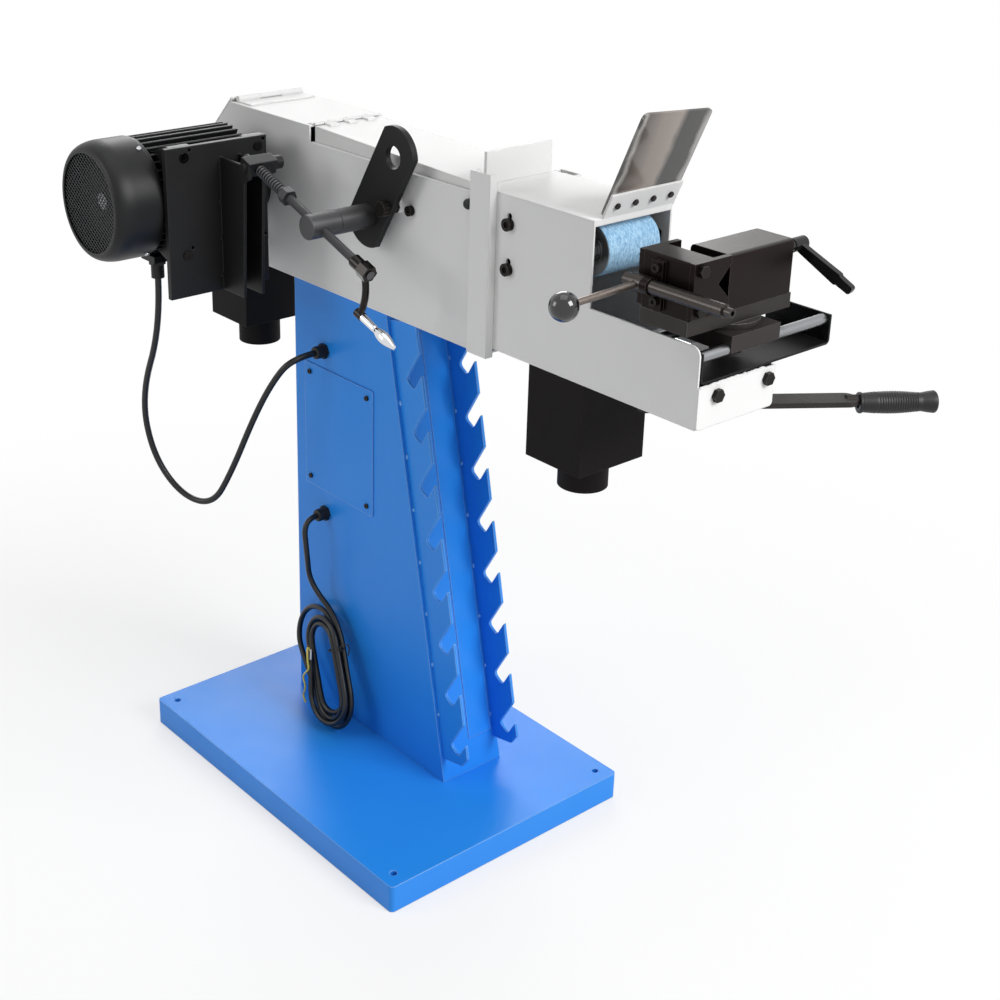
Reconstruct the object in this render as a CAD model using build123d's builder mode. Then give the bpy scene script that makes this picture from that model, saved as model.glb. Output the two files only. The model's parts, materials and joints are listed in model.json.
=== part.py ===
# Tube belt grinder, millimetres. X runs along the arm to the vice, Y to the far side, Z up.
# The origin is on the floor in the middle of the four anchor holes.
import os
from math import atan2, cos, pi, radians, sin, sqrt, tan
from build123d import *

os.makedirs("parts", exist_ok=True)

# Clearances
run_gap = 0.4
bore_gap = 0.05
seat_gap = 0.3

# Base tray
base_length = 700.0
base_width = 500.0
base_height = 48.0
base_sheet = 4.0
base_corner = 8.0
anchor_inset_x = 28.0
anchor_inset_y = 26.0
anchor_hole = 12.0
anchor_sleeve = 26.0

# Column
arm_mid = 59.5
column_width = 129.0
column_wall = 4.0
column_rear = -234.0
column_foot_depth = 420.0
column_head_depth = 253.0
column_height = 809.0
lap_sheet = 1.5
lap_width = 56.0
lap_foot = 57.0

# Roller racks
rack_sheet = 5.0
rack_reach = 65.0
rack_inset = 6.0
rack_foot = 43.0
rack_tip = 83.0
rack_pitch = 91.3
rack_notches = 8
notch_width = 25.0
notch_angle = 47.7
notch_depth = 24.0
notch_round = 8.0

# Access cover, glands and switch
cover_length = 193.0
cover_height = 230.0
cover_x = -108.5
cover_z = 593.0
cover_sheet = 2.0
cover_screw_inset = 16.0
cover_screw = 5.0
gland_x = -148.5
gland_high = 741.0
gland_low = 435.0
gland_reach = 22.0
gland_size = 24.0
motor_cord = 11.0
mains_cord_size = 10.0
switch_x = -70.0
switch_z = 770.0
switch_width = 70.0
switch_height = 110.0
switch_depth = 48.0
button_size = 22.0
button_travel = 4.0
button_step = 25.0
starter_plate = 120.0
starter_plate_height = 140.0
starter_plate_sheet = 4.0
starter_width = 48.0
starter_height = 84.0
starter_depth = 74.0
starter_neck = 16.0
starter_inset = 6.0

# Arm, rear housing
rear_width = 150.0
rear_height = 269.0
sheet = 3.0
rear_end = -485.0
rear_bevel = 81.0
joint_x = 268.0
lid_wall = -170.0
lid_gap = 5.0
lid_front = 243.0
lid_sheet = 2.5
lid_drop = 14.0
lid_inset = 8.0
rail_drop = 27.0
rail_lip = 13.0
bridge_length = 21.0

# Arm, front housing
front_step = 17.0
front_width = 154.0
front_height = 239.0
front_end = 686.0
mouth_x = 485.0
ledge_height = 115.0
ledge_round = 14.0
right_side_height = 59.0
front_plate_sheet = 3.0

# Joint channel and roof flange
channel_width = 43.0
channel_depth = 14.0
channel_sheet = 2.5
channel_foot = 4.0
channel_rise = 12.0
flange_sheet = 5.0
flange_width = 130.0
flange_height = 48.0

# Spark shield
shield_lean = 24.0
tab_height = 38.0
tab_width = 140.0
shield_sheet = 4.0
shield_height = 162.0
shield_bolt = 5.0
shield_bolt_head = 8.0
shield_bolt_step = 35.0
shield_round = 8.0
shield_slant = 11.0

# Belt and rollers
belt_length = 2000.0
belt_width = 100.0
belt_sheet = 1.2
belt_play = 0.5
contact_size = 74.0
contact_x = 452.5
contact_z = 1061.0
drive_size = 198.0
drive_z = 1013.0
axle_size = 20.0
bearing_size = 47.0
bearing_width = 14.0
collar_size = 30.0
fork_sheet = 8.0
fork_width = 64.0
fork_rear = 196.0
knob_x = 318.0
knob_high = 1071.0
knob_low = 1004.0
knob_thread = 8.0
knob_head = 19.0

# Motor
motor_foot = 100.0
motor_foot_span = 160.0
motor_foot_pitch = 140.0
motor_face = -22.0
fin_inset = 2.0
fin_height = 13.0
fin_count = 40
fin_sheet = 3.4
frame_length = 183.0
nose_length = 49.0
nose_size = 128.0
shield_width = 20.0
shaft_size = 28.0
shaft_reach = 60.0
rotor_size = 88.0
rotor_gap = 0.6
cowl_size = 198.0
cowl_length = 78.0
cowl_face = 170.0
cowl_curve = 34.0
cowl_sheet = 2.0
motor_bolt = 12.0
motor_bolt_head = 16.0
motor_bolt_rise = 2.5
spare_hole = 6.0
spare_step = 11.0
box_length = 92.0
box_width = 74.0
box_drop = 109.0

# Motor plate and its hinge
plate_sheet = 10.0
plate_near = -258.0
plate_width = 190.0
plate_foot = 863.0
plate_height = 247.0
hinge_x = -246.0
hinge_z = 873.0
hinge_rod = 20.0
hinge_wall = 6.0
rib_sheet = 5.0
rib_gap = 30.0
rib_reach = 59.0
barrel_inset = 28.0
barrel_length = 40.0
bracket_x = -300.0
bracket_sheet = 6.0
bracket_foot = 860.0
bracket_height = 36.0
bracket_ear = 48.0
bracket_ear_reach = 13.0
bracket_lug = 18.0

# Tensioner
bar_x = 20.0
bar_z = 1022.0
bar_size = 39.0
bar_reach = 88.5
trunnion_length = 55.0
spindle_y = -138.0
spindle_drop = 19.8
spindle_size = 14.0
spindle_tail = 12.0
block_offset = 177.0
block_size = 24.0
block_near = -158.5
block_far = -104.5
block_bore_lift = 1.0
pin_nut = 22.0
pin_nut_length = 14.0
collar_offset = 93.0
collar_width = 15.0
collar_flats = 24.0
crank_offset = 97.0
crank_hub = 40.0
crank_sleeve = 20.0
crank_flats = 24.0
crank_reach = 72.0
crank_size = 11.0
crank_bow = 16.0
crank_boss = 14.0
handle_length = 80.0
handle_size = 18.0
handle_neck = 11.0
handle_pin = 6.0
spring_size = 18.5
spring_wire = 2.8
spring_curls = 11

# Lifting eye
eye_y = -43.0
eye_sheet = 10.0
eye_width = 80.0
eye_lean = 31.0
eye_crown = 48.0
eye_heel = 51.0
eye_hole = 36.0
eye_hole_rise = 121.0
star_across = 29.0
star_rise = 43.5
star_size = 26.0
star_height = 13.0
wall_screw_x = 94.5
wall_screw_z = 1041.8
wall_screw_head = 16.0

# Dust boxes
dust_length = 112.0
dust_width = 131.0
dust_sheet = 2.0
dust_rear_floor = 724.0
dust_front_floor = 731.0
dust_front_x = 425.0
dust_rear_x = -425.0
dust_y = 48.5
spigot_size = 76.0
spigot_rear_reach = 50.0
spigot_front_reach = 45.0

# Feed tray on its guide rods
tray_x = 630.0
tray_length = 112.0
tray_near = -12.0
tray_width = 267.0
tray_floor = 936.0
tray_depth = 43.0
tray_sheet = 3.0
tray_round = 14.0
feed_travel = 55.0
guide_size = 20.0
guide_near_y = 18.0
guide_far_y = 120.0
guide_z = 917.5
guide_block = 26.0
guide_block_length = 84.0
cross_rod = 16.0
cross_rod_span = 88.0
cross_rod_drop = 9.0

# Cross slide block and vice
block_length = 106.0
block_width = 99.0
block_y = 97.0
block_top = 990.0
swivel_size = 92.0
swivel_sheet = 8.0
vice_length = 208.0
vice_near = -21.0
vice_width = 84.0
vice_sheet = 21.0
v_block = 45.0
jaw_height = 78.0
v_plate_sheet = 8.0
v_plate_reach = 71.0
v_apex_y = 26.5
v_apex_z = 1063.0
jaw_y = 54.0
jaw_length = 128.0
jaw_width = 70.0
lock_x = 650.0
lock_z = 1080.0
lock_hub = 20.0
lock_stub = 26.0
lock_reach = 100.0
lock_drop = 29.0
lock_width = 18.0
lock_sheet = 9.0
cam_y = -36.0
cam_z = 1057.0
cam_size = 19.0
cam_rear = 567.0
cam_length = 169.0
cam_boss_x = 611.0
cam_boss_width = 20.0
cam_boss_height = 66.0
cam_boss_sheet = 6.0
cam_ring = 24.0
cam_ring_length = 11.0
lever_x = 590.0
lever_hub = 24.0
lever_hub_length = 20.0
lever_rod = 10.0
lever_reach = 136.0
ball_size = 40.0

# Feed lever
pivot_x = 566.0
pivot_y = 22.0
pivot_size = 16.0
lever_angle = 54.5
lever_sheet = 8.0
lever_width = 36.0
lever_bar = 279.0
lever_drop = 4.0
grip_length = 111.0
grip_size = 32.0
grip_core = 16.0
grip_flange = 7.0
grip_bulb = 30.0
feed_pin = 14.0
feed_arm = 60.0

# Sizes that follow from the ones above
arm_floor = base_height + column_height
rear_roof = arm_floor + rear_height
rail_z = rear_roof - rail_drop
front_floor = arm_floor + front_step
front_roof = front_floor + front_height
ledge_z = front_floor + ledge_height
right_side_z = front_floor + right_side_height
column_near = arm_mid - column_width / 2
column_far = arm_mid + column_width / 2
rear_near = arm_mid - rear_width / 2
rear_far = arm_mid + rear_width / 2
front_near = arm_mid - front_width / 2
front_far = arm_mid + front_width / 2
bridge_x = joint_x - bridge_length
column_foot_x = column_rear + column_foot_depth
column_head_x = column_rear + column_head_depth
column_slope = atan2(column_foot_depth - column_head_depth, column_height)
belt_near = arm_mid - belt_width / 2
wrap_size = belt_length - pi * (contact_size + drive_size + 2 * belt_sheet) / 2
wrap_term = (drive_size - contact_size) ** 2 / 4
belt_span = (wrap_size + sqrt(wrap_size**2 - 8 * wrap_term)) / 4
drive_x = contact_x - sqrt(belt_span**2 - (contact_z - drive_z) ** 2)
foot_plane = drive_x + motor_foot
plate_face = foot_plane + plate_sheet
motor_fin = cowl_size / 2 - fin_inset
motor_core = motor_fin - fin_height
frame_near = motor_face - nose_length - frame_length
foot_mid = plate_near + plate_width / 2 + 8
spindle_dir = Vector(cos(radians(spindle_drop)), 0, -sin(radians(spindle_drop)))
spindle_mid = Vector(bar_x, spindle_y, bar_z)
block_mid = spindle_mid - spindle_dir * block_offset
crank_seat = spindle_mid + spindle_dir * crank_offset
tray_rear = tray_x - tray_length / 2
tray_front = tray_x + tray_length / 2
tray_far = tray_near + tray_width
cross_z = tray_floor + tray_depth - cross_rod_drop
rod_rear_x = tray_x - cross_rod_span / 2
rod_front_x = tray_x + cross_rod_span / 2
vice_floor = block_top + seat_gap + swivel_sheet
vice_top = vice_floor + vice_sheet
jaw_floor = vice_top + seat_gap
barrel_rows = [plate_near + barrel_inset, plate_near + plate_width - barrel_inset - barrel_length]
lug_rows = [barrel_rows[0] + barrel_length + 2, barrel_rows[1] - bracket_lug - 2]
eye_across = Vector(cos(radians(eye_lean)), 0, -sin(radians(eye_lean)))
eye_plane = Plane((bar_x, eye_y, bar_z), x_dir=eye_across, z_dir=(0, -1, 0))
star_spot = eye_plane.from_local_coords((star_across, star_rise, 0))
fork_near = rear_near + sheet
fork_far = rear_far - sheet - fork_sheet
lever_top = front_floor - lever_drop
shield_angle = radians(shield_lean)


def side(y):
    """Plane along the arm at y: local x is X, local y is Z, extruding by a minus amount goes to +Y."""
    return Plane.XZ.offset(-y)


def keep(piece, name):
    """Label a finished piece and write it."""
    piece.part.label = name
    export_step(piece.part, f"parts/{name}.step")


def profile(y, width, points, mode=Mode.ADD):
    """Extrude a closed outline in X and Z from y to y + width."""
    with BuildSketch(side(y)) as outline:
        with BuildLine():
            Polyline(*points, close=True)
        make_face()
    extrude(outline.sketch, amount=-width, mode=mode)


def block(low, high, mode=Mode.ADD):
    """Box between two corner points."""
    mid = [(a + b) / 2 for a, b in zip(low, high)]
    with Locations(tuple(mid)):
        Box(*[b - a for a, b in zip(low, high)], mode=mode)


def drum(place, size, length, mode=Mode.ADD):
    """Cylinder of a diameter along a plane's normal from its origin."""
    with BuildSketch(place) as disc:
        Circle(size / 2)
    extrude(disc.sketch, amount=length, mode=mode)


def hex_bolt(place, flats, height, shank, length):
    """Hex head standing on a plane with its shank below it."""
    with BuildSketch(place) as head:
        RegularPolygon(flats / 2, 6, major_radius=False)
    extrude(head.sketch, amount=height)
    if length > 0:
        drum(place, shank, -length)


def cap_screw(place, head, height, shank, length):
    """Socket head standing on a plane with its shank below it."""
    drum(place, head, height)
    with BuildSketch(place.offset(height)) as socket:
        RegularPolygon(head / 4, 6, major_radius=False)
    extrude(socket.sketch, amount=-height / 2, mode=Mode.SUBTRACT)
    if length > 0:
        drum(place, shank, -length)


def bend_radii(points, first, last):
    """Radius at each corner of a cord: 45 percent of the shorter run, more where a run is an end."""
    radii = []
    for i in range(1, len(points) - 1):
        before = Vector(points[i]) - Vector(points[i - 1])
        after = Vector(points[i + 1]) - Vector(points[i])
        half = radians(before.get_angle(after)) / 2
        room_before = before.length * (first if i == 1 else 0.45)
        room_after = after.length * (last if i == len(points) - 2 else 0.45)
        radii.append(min(room_before, room_after) / tan(half))
    return radii


# Base tray, open below, with a sleeve under each anchor hole
with BuildPart() as base_plate:
    with BuildSketch():
        RectangleRounded(base_length, base_width, base_corner)
    extrude(amount=base_height)
    offset(amount=-base_sheet, openings=base_plate.faces().sort_by(Axis.Z)[0])
    for size, mode in ((anchor_sleeve, Mode.ADD), (anchor_hole, Mode.SUBTRACT)):
        with BuildSketch():
            with GridLocations(base_length - 2 * anchor_inset_x, base_width - 2 * anchor_inset_y, 2, 2):
                Circle(size / 2)
        extrude(amount=base_height, mode=mode)
keep(base_plate, "base_plate")

# Column, a folded box with a lapped sheet on its sloping front
slope_wall = column_wall / cos(column_slope)
slope_lap = lap_sheet / cos(column_slope)
with BuildPart() as column:
    column_outline = [
        (column_rear, base_height),
        (column_foot_x, base_height),
        (column_head_x, arm_floor),
        (column_rear, arm_floor),
    ]
    profile(column_near, column_width, column_outline)
    column_hollow = [
        (column_rear + column_wall, base_height),
        (column_foot_x - slope_wall, base_height),
        (column_head_x - slope_wall, arm_floor),
        (column_rear + column_wall, arm_floor),
    ]
    profile(column_near + column_wall, column_width - 2 * column_wall, column_hollow, Mode.SUBTRACT)
    lap_x = column_foot_x - lap_foot * tan(column_slope)
    lap_outline = [
        (lap_x - slope_wall / 2, base_height + lap_foot),
        (lap_x + slope_lap, base_height + lap_foot),
        (column_head_x + slope_lap, arm_floor),
        (column_head_x - slope_wall / 2, arm_floor),
    ]
    profile(arm_mid, lap_width - rack_inset, lap_outline)
    window_x = cover_length / 2 - cover_screw_inset - cover_screw
    window_z = cover_height / 2 - cover_screw_inset - cover_screw
    block(
        (cover_x - window_x, column_near - 1, cover_z - window_z),
        (cover_x + window_x, column_near + column_wall + 1, cover_z + window_z),
        Mode.SUBTRACT,
    )
    with BuildSketch(side(column_near)):
        with Locations((gland_x, gland_high), (gland_x, gland_low)):
            Circle(gland_size / 2 - 3)
    extrude(amount=-column_wall, mode=Mode.SUBTRACT)
keep(column, "column")

# Two hooked racks standing on the column front


def roller_rack(rack_y):
    """Hooked plate with its row of notches, its near face at rack_y."""
    rack_out = Vector(cos(column_slope), 0, sin(column_slope))
    rack_top = (column_height - rack_reach * sin(column_slope)) / cos(column_slope) - 2
    corner = rack_reach / 4
    with BuildPart() as rack:
        with BuildSketch(Plane((column_foot_x, rack_y, base_height), x_dir=rack_out, z_dir=(0, -1, 0))):
            with BuildLine():
                Polyline(
                    (0, rack_foot),
                    (rack_reach - corner, rack_foot),
                    (rack_reach, rack_foot + corner),
                    (rack_reach, rack_top),
                    (0, rack_top),
                    close=True,
                )
            make_face()
            for notch in range(rack_notches):
                slot_mid = (rack_reach - notch_width / 2) / 2
                slot_x = rack_reach - notch_depth + slot_mid * cos(radians(notch_angle))
                slot_y = rack_tip + notch * rack_pitch - 7 + slot_mid * sin(radians(notch_angle))
                slot_length = rack_reach + notch_width / 2
                with Locations((slot_x, slot_y)):
                    RectangleRounded(slot_length, notch_width, notch_round, notch_angle, mode=Mode.SUBTRACT)
        extrude(amount=-rack_sheet)
    return rack


roller_rack_left = roller_rack(column_near + rack_inset)
keep(roller_rack_left, "roller_rack_left")
roller_rack_right = roller_rack(column_far - rack_inset - rack_sheet)
keep(roller_rack_right, "roller_rack_right")

# Access cover
screw_span_x = cover_length - 2 * cover_screw_inset
screw_span_z = cover_height - 2 * cover_screw_inset
with BuildPart() as access_cover:
    with BuildSketch(side(column_near)):
        with Locations((cover_x, cover_z)):
            RectangleRounded(cover_length, cover_height, 3)
            with GridLocations(screw_span_x, screw_span_z, 2, 2):
                Circle(cover_screw / 2, mode=Mode.SUBTRACT)
    extrude(amount=cover_sheet)
keep(access_cover, "access_cover")

# Cable glands on the column side
with BuildPart() as cable_glands:
    for gland_z in (gland_high, gland_low):
        seat = Plane((gland_x, column_near, gland_z), x_dir=(1, 0, 0), z_dir=(0, -1, 0))
        with BuildSketch(seat):
            RegularPolygon(gland_size / 2, 6, major_radius=False)
        extrude(amount=gland_reach / 3)
        drum(seat, gland_size - 2, gland_reach)
        drum(seat, gland_size - 6, -column_wall * 2)
        fillet(cable_glands.faces().sort_by(Axis.Y)[0].edges(), 3)
keep(cable_glands, "cable_glands")

# Contactor behind the access cover
with BuildPart() as contactor:
    back = column_far - column_wall
    half_x = starter_plate / 2
    half_z = starter_plate_height / 2
    front = back - starter_plate_sheet
    block((cover_x - half_x, front, cover_z - half_z), (cover_x + half_x, back, cover_z + half_z))
    half_x = starter_width / 2
    half_z = starter_height / 2
    neck_y = front - starter_depth + starter_neck
    block((cover_x - half_x, neck_y, cover_z - half_z), (cover_x + half_x, front, cover_z + half_z))
    half_x = half_x - starter_inset
    half_z = half_z - 3 * starter_inset
    cap_y = front - starter_depth
    block((cover_x - half_x, cap_y, cover_z - half_z), (cover_x + half_x, neck_y, cover_z + half_z))
keep(contactor, "contactor")

# Switch box on the far side of the column
with BuildPart() as switch_box:
    with BuildSketch(side(column_far)):
        with Locations((switch_x, switch_z)):
            RectangleRounded(switch_width, switch_height, 6)
    extrude(amount=-switch_depth)
    button_hole = button_size + 2 * run_gap
    with BuildSketch(side(column_far + switch_depth)):
        with Locations((switch_x, switch_z + button_step), (switch_x, switch_z - button_step)):
            Circle(button_hole / 2)
    extrude(amount=switch_depth / 2, mode=Mode.SUBTRACT)
keep(switch_box, "switch_box")


def push_button(z, crown):
    """Round button standing out of the switch box, free of the bottom of its hole by its travel."""
    floor_y = column_far + switch_depth / 2 + button_travel + 1
    face_y = column_far + switch_depth
    with BuildPart() as button:
        stem_length = face_y - floor_y + button_travel + 2
        drum(Plane((switch_x, floor_y, z), z_dir=(0, 1, 0)), button_size, stem_length)
        if crown > button_size:
            top = Plane((switch_x, face_y + button_travel + 2, z), z_dir=(0, 1, 0))
            drum(top, crown, 9)
        fillet(button.faces().sort_by(Axis.Y)[-1].edges(), 2)
    return button


start_button = push_button(switch_z + button_step, button_size)
keep(start_button, "start_button")
stop_button = push_button(switch_z - button_step, button_size * 1.5)
keep(stop_button, "stop_button")

# Rear housing of the arm, open behind and at the joint, with the bracket of the motor hinge on its side
with BuildPart() as rear_housing:
    rear_outline = [
        (rear_end, arm_floor),
        (joint_x, arm_floor),
        (joint_x, front_roof),
        (bridge_x, front_roof),
        (bridge_x, rail_z),
        (lid_wall, rail_z),
        (lid_wall, rear_roof),
        (rear_end + rear_bevel, rear_roof),
        (rear_end, rear_roof - rear_bevel),
    ]
    profile(rear_near, rear_width, rear_outline)
    rear_hollow = [
        (rear_end - 1, arm_floor + sheet),
        (joint_x + 1, arm_floor + sheet),
        (joint_x + 1, front_roof - sheet),
        (bridge_x + sheet, front_roof - sheet),
        (bridge_x + sheet, rail_z - sheet),
        (lid_wall - sheet, rail_z - sheet),
        (lid_wall - sheet, rear_roof - sheet),
        (rear_end - 1, rear_roof - sheet),
    ]
    profile(rear_near + sheet, rear_width - 2 * sheet, rear_hollow, Mode.SUBTRACT)
    block(
        (lid_wall, rear_near + rail_lip, rail_z - 2 * sheet),
        (bridge_x, rear_far - rail_lip, rail_z + 1),
        Mode.SUBTRACT,
    )
    block(
        (bridge_x - 1, rear_near + sheet, rail_z - 2 * sheet),
        (bridge_x + sheet + 1, rear_far - sheet, front_roof - sheet),
        Mode.SUBTRACT,
    )
    block(
        (lid_wall - sheet - 1, rear_near + sheet, rail_z - 2 * sheet),
        (lid_wall + 1, rear_far - sheet, rear_roof - sheet),
        Mode.SUBTRACT,
    )
    with BuildSketch(side(rear_near)):
        with Locations((drive_x, drive_z)):
            Circle(shaft_size + 16)
    extrude(amount=-sheet, mode=Mode.SUBTRACT)
    block(
        (bracket_x, lug_rows[0], bracket_foot),
        (bracket_x + bracket_sheet, rear_near + 1, bracket_foot + bracket_height),
    )
    block(
        (bracket_x, rear_near - bracket_ear_reach, bracket_foot),
        (bracket_x + bracket_sheet, rear_near + 1, bracket_foot + bracket_ear),
    )
    for lug_y in lug_rows:
        drum(Plane((hinge_x, lug_y, hinge_z), z_dir=(0, 1, 0)), hinge_rod + 2 * hinge_wall, bracket_lug)
        block((bracket_x + 1, lug_y, hinge_z - 10), (hinge_x, lug_y + bracket_lug, hinge_z + 10))
    lug_reach = lug_rows[1] + bracket_lug - lug_rows[0] + 1
    drum(Plane((hinge_x, lug_rows[0], hinge_z), z_dir=(0, 1, 0)), hinge_rod, lug_reach, Mode.SUBTRACT)
    stud_boss = Plane((star_spot.X, rear_near, star_spot.Z), z_dir=(0, -1, 0))
    drum(stud_boss, star_size - 4, (rear_near - eye_y - eye_sheet) / 2)
    dust_hole_x = dust_length / 2 - 3 * dust_sheet
    dust_hole_y = dust_width / 2 - 3 * dust_sheet - 6
    block(
        (dust_rear_x - dust_hole_x, dust_y - dust_hole_y, arm_floor - 1),
        (dust_rear_x + dust_hole_x, dust_y + dust_hole_y, arm_floor + sheet + 1),
        Mode.SUBTRACT,
    )
keep(rear_housing, "rear_housing")

# Front housing of the arm with its ledge, front plate, rod wall and the bent tab of the spark shield
with BuildPart() as front_housing:
    with BuildSketch(side(front_near)):
        with BuildLine():
            Polyline(
                (joint_x, front_roof),
                (joint_x, front_floor),
                (front_end, front_floor),
                (front_end, ledge_z - ledge_round),
            )
            RadiusArc((front_end, ledge_z - ledge_round), (front_end - ledge_round, ledge_z), -ledge_round)
            Polyline(
                (front_end - ledge_round, ledge_z),
                (mouth_x, ledge_z),
                (mouth_x, front_roof),
                (joint_x, front_roof),
            )
        make_face()
    extrude(amount=-front_width)
    roof_lip = front_roof - 3 * sheet
    front_hollow = [
        (joint_x - 1, front_floor + sheet),
        (front_end + 1, front_floor + sheet),
        (front_end + 1, ledge_z + 1),
        (mouth_x + 1, ledge_z + 1),
        (mouth_x + 1, roof_lip),
        (mouth_x - sheet, roof_lip),
        (mouth_x - sheet, front_roof - sheet),
        (joint_x - 1, front_roof - sheet),
    ]
    profile(front_near + sheet, front_width - 2 * sheet, front_hollow, Mode.SUBTRACT)
    block(
        (mouth_x, front_far - sheet - 1, right_side_z),
        (front_end + 1, front_far + 1, ledge_z + 1),
        Mode.SUBTRACT,
    )
    with BuildSketch(Plane.YZ.offset(front_end)) as front_face:
        with Locations((arm_mid, (front_floor + right_side_z) / 2)):
            Rectangle(front_width, right_side_height)
        fillet(front_face.vertices().group_by(Axis.Y)[0], 6)
    extrude(amount=front_plate_sheet)
    rod_wall = mouth_x + sheet
    block(
        (rod_wall, front_near + sheet, front_floor + sheet),
        (rod_wall + sheet * 2, front_far - sheet, right_side_z - 2),
    )
    with BuildSketch(Plane.YZ.offset(rod_wall)):
        with Locations((guide_near_y, guide_z), (guide_far_y, guide_z)):
            Circle(guide_size / 2)
    extrude(amount=sheet * 2, mode=Mode.SUBTRACT)
    with BuildSketch(Plane.YZ.offset(front_end)):
        with Locations((guide_near_y, guide_z), (guide_far_y, guide_z)):
            Circle(motor_bolt / 2)
    extrude(amount=front_plate_sheet, mode=Mode.SUBTRACT)
    for wall_y in (front_near, front_far - sheet):
        with BuildSketch(side(wall_y)):
            for knob_z in (knob_high, knob_low):
                with Locations((knob_x, knob_z)):
                    Circle(knob_thread / 2)
                with Locations((knob_x, knob_z + knob_head / 2 + 2)):
                    Circle(knob_thread / 2 + 0.5)
                with Locations((knob_x, knob_z + knob_head / 4)):
                    Rectangle(knob_thread - 2, knob_head / 2)
        extrude(amount=-sheet, mode=Mode.SUBTRACT)
    block(
        (dust_front_x - dust_hole_x, dust_y - dust_hole_y, front_floor - 1),
        (dust_front_x + dust_hole_x, dust_y + dust_hole_y, front_floor + sheet + 1),
        Mode.SUBTRACT,
    )
    pin_half = feed_travel / 2
    pin_y = pivot_y + sqrt(feed_arm**2 - pin_half**2)
    block(
        (pivot_x - pin_half - feed_pin, pin_y - feed_pin, front_floor - 1),
        (pivot_x + pin_half + feed_pin, pivot_y + feed_arm + feed_pin, front_floor + sheet + 1),
        Mode.SUBTRACT,
    )
    drum(Plane((pivot_x, pivot_y, front_floor)), pivot_size, sheet, Mode.SUBTRACT)
    tab_plane = Plane(
        (mouth_x, 0, front_roof), x_dir=(0, 1, 0), z_dir=(cos(shield_angle), 0, -sin(shield_angle))
    )
    with BuildSketch(tab_plane):
        with Locations((arm_mid + 9.5, tab_height / 2 - 1)):
            Rectangle(tab_width, tab_height + 2)
            with Locations((0, 1)):
                with GridLocations(shield_bolt_step, 1, 4, 1):
                    Circle(shield_bolt / 2, mode=Mode.SUBTRACT)
    extrude(amount=-sheet)
keep(front_housing, "front_housing")

# Channels over the joint of the two housings and the upright flange on the roof bridge
with BuildPart() as joint_collar:
    channel_x = joint_x - bridge_length
    channel_low = arm_floor + channel_foot
    near_side = (-1, rear_near, front_near, rear_roof + channel_rise)
    far_side = (1, rear_far, front_far, front_roof)
    for out, rear_face, front_face, channel_high in (near_side, far_side):
        face = front_face + out * channel_depth
        inner = face - out * channel_sheet
        block(
            (channel_x, min(face, inner), channel_low),
            (channel_x + channel_width, max(face, inner), channel_high),
        )
        block(
            (channel_x, min(face, rear_face), channel_low),
            (channel_x + channel_sheet, max(face, rear_face), channel_high),
        )
        block(
            (channel_x + channel_width - channel_sheet, min(face, front_face), channel_low),
            (channel_x + channel_width, max(face, front_face), channel_high),
        )
    block(
        (bridge_x, arm_mid - flange_width / 2, front_roof),
        (bridge_x + flange_sheet, arm_mid + flange_width / 2, front_roof + flange_height),
    )
keep(joint_collar, "joint_collar")

# Clear spark shield behind the tab
shield_plane = tab_plane.offset(-sheet)
with BuildPart() as spark_shield:
    with BuildSketch(shield_plane) as shield_sketch:
        shield_low = arm_mid + 9.5 - tab_width / 2
        shield_high = shield_low + tab_width - 2
        with BuildLine():
            Polyline(
                (shield_low, 4),
                (shield_high, 4),
                (shield_high, 4 + shield_height - shield_slant),
                (shield_low, 4 + shield_height),
                close=True,
            )
        make_face()
        fillet(shield_sketch.vertices().sort_by(Axis.Y)[-2:], shield_round)
        with Locations((arm_mid + 9.5, tab_height / 2)):
            with GridLocations(shield_bolt_step, 1, 4, 1):
                Circle(shield_bolt / 2, mode=Mode.SUBTRACT)
    extrude(amount=-shield_sheet)
keep(spark_shield, "spark_shield")

# Screws and bolts that sit on the frame
with BuildPart() as frame_screws:
    for step_x in (-0.5, 0.5):
        for step_z in (-0.5, 0.5):
            spot_x = cover_x + step_x * screw_span_x
            spot = (spot_x, column_near - cover_sheet, cover_z + step_z * screw_span_z)
            cap_screw(Plane(spot, z_dir=(0, -1, 0)), 9, 3, cover_screw, cover_sheet)
    for step in (-1.5, -0.5, 0.5, 1.5):
        spot = tab_plane.from_local_coords((arm_mid + 9.5 + step * shield_bolt_step, tab_height / 2, 0))
        seat = Plane(spot, x_dir=(0, 1, 0), z_dir=tab_plane.z_dir)
        hex_bolt(seat, shield_bolt_head, 3.5, shield_bolt, sheet + shield_sheet)
        nut_seat = Plane(seat.offset(-sheet - shield_sheet).origin, x_dir=(0, 1, 0), z_dir=-tab_plane.z_dir)
        hex_bolt(nut_seat, shield_bolt_head, 4, shield_bolt, 1)
    for guide_y in (guide_near_y, guide_far_y):
        seat = Plane((front_end + front_plate_sheet, guide_y, guide_z), x_dir=(0, 1, 0), z_dir=(1, 0, 0))
        hex_bolt(seat, 17, 7, motor_bolt, front_plate_sheet)
    for knob_z in (knob_high, knob_low):
        near = Plane((knob_x, front_near, knob_z), x_dir=(1, 0, 0), z_dir=(0, -1, 0))
        cap_screw(near, knob_head, 8, knob_thread, fork_near + fork_sheet - front_near)
        far = Plane((knob_x, front_far, knob_z), x_dir=(1, 0, 0), z_dir=(0, 1, 0))
        cap_screw(far, knob_head, 8, knob_thread, front_far - fork_far)
    pivot_seat = Plane((pivot_x, pivot_y, lever_top - lever_sheet - run_gap), z_dir=(0, 0, -1))
    hex_bolt(pivot_seat, 24, 6, pivot_size, front_floor + 2 * sheet - lever_top + lever_sheet + run_gap)
    pivot_nut = Plane((pivot_x, pivot_y, front_floor + sheet))
    hex_bolt(pivot_nut, 24, 8, pivot_size, 1)
keep(frame_screws, "frame_screws")

# Dust boxes under the housing, each with a round spigot


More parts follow.
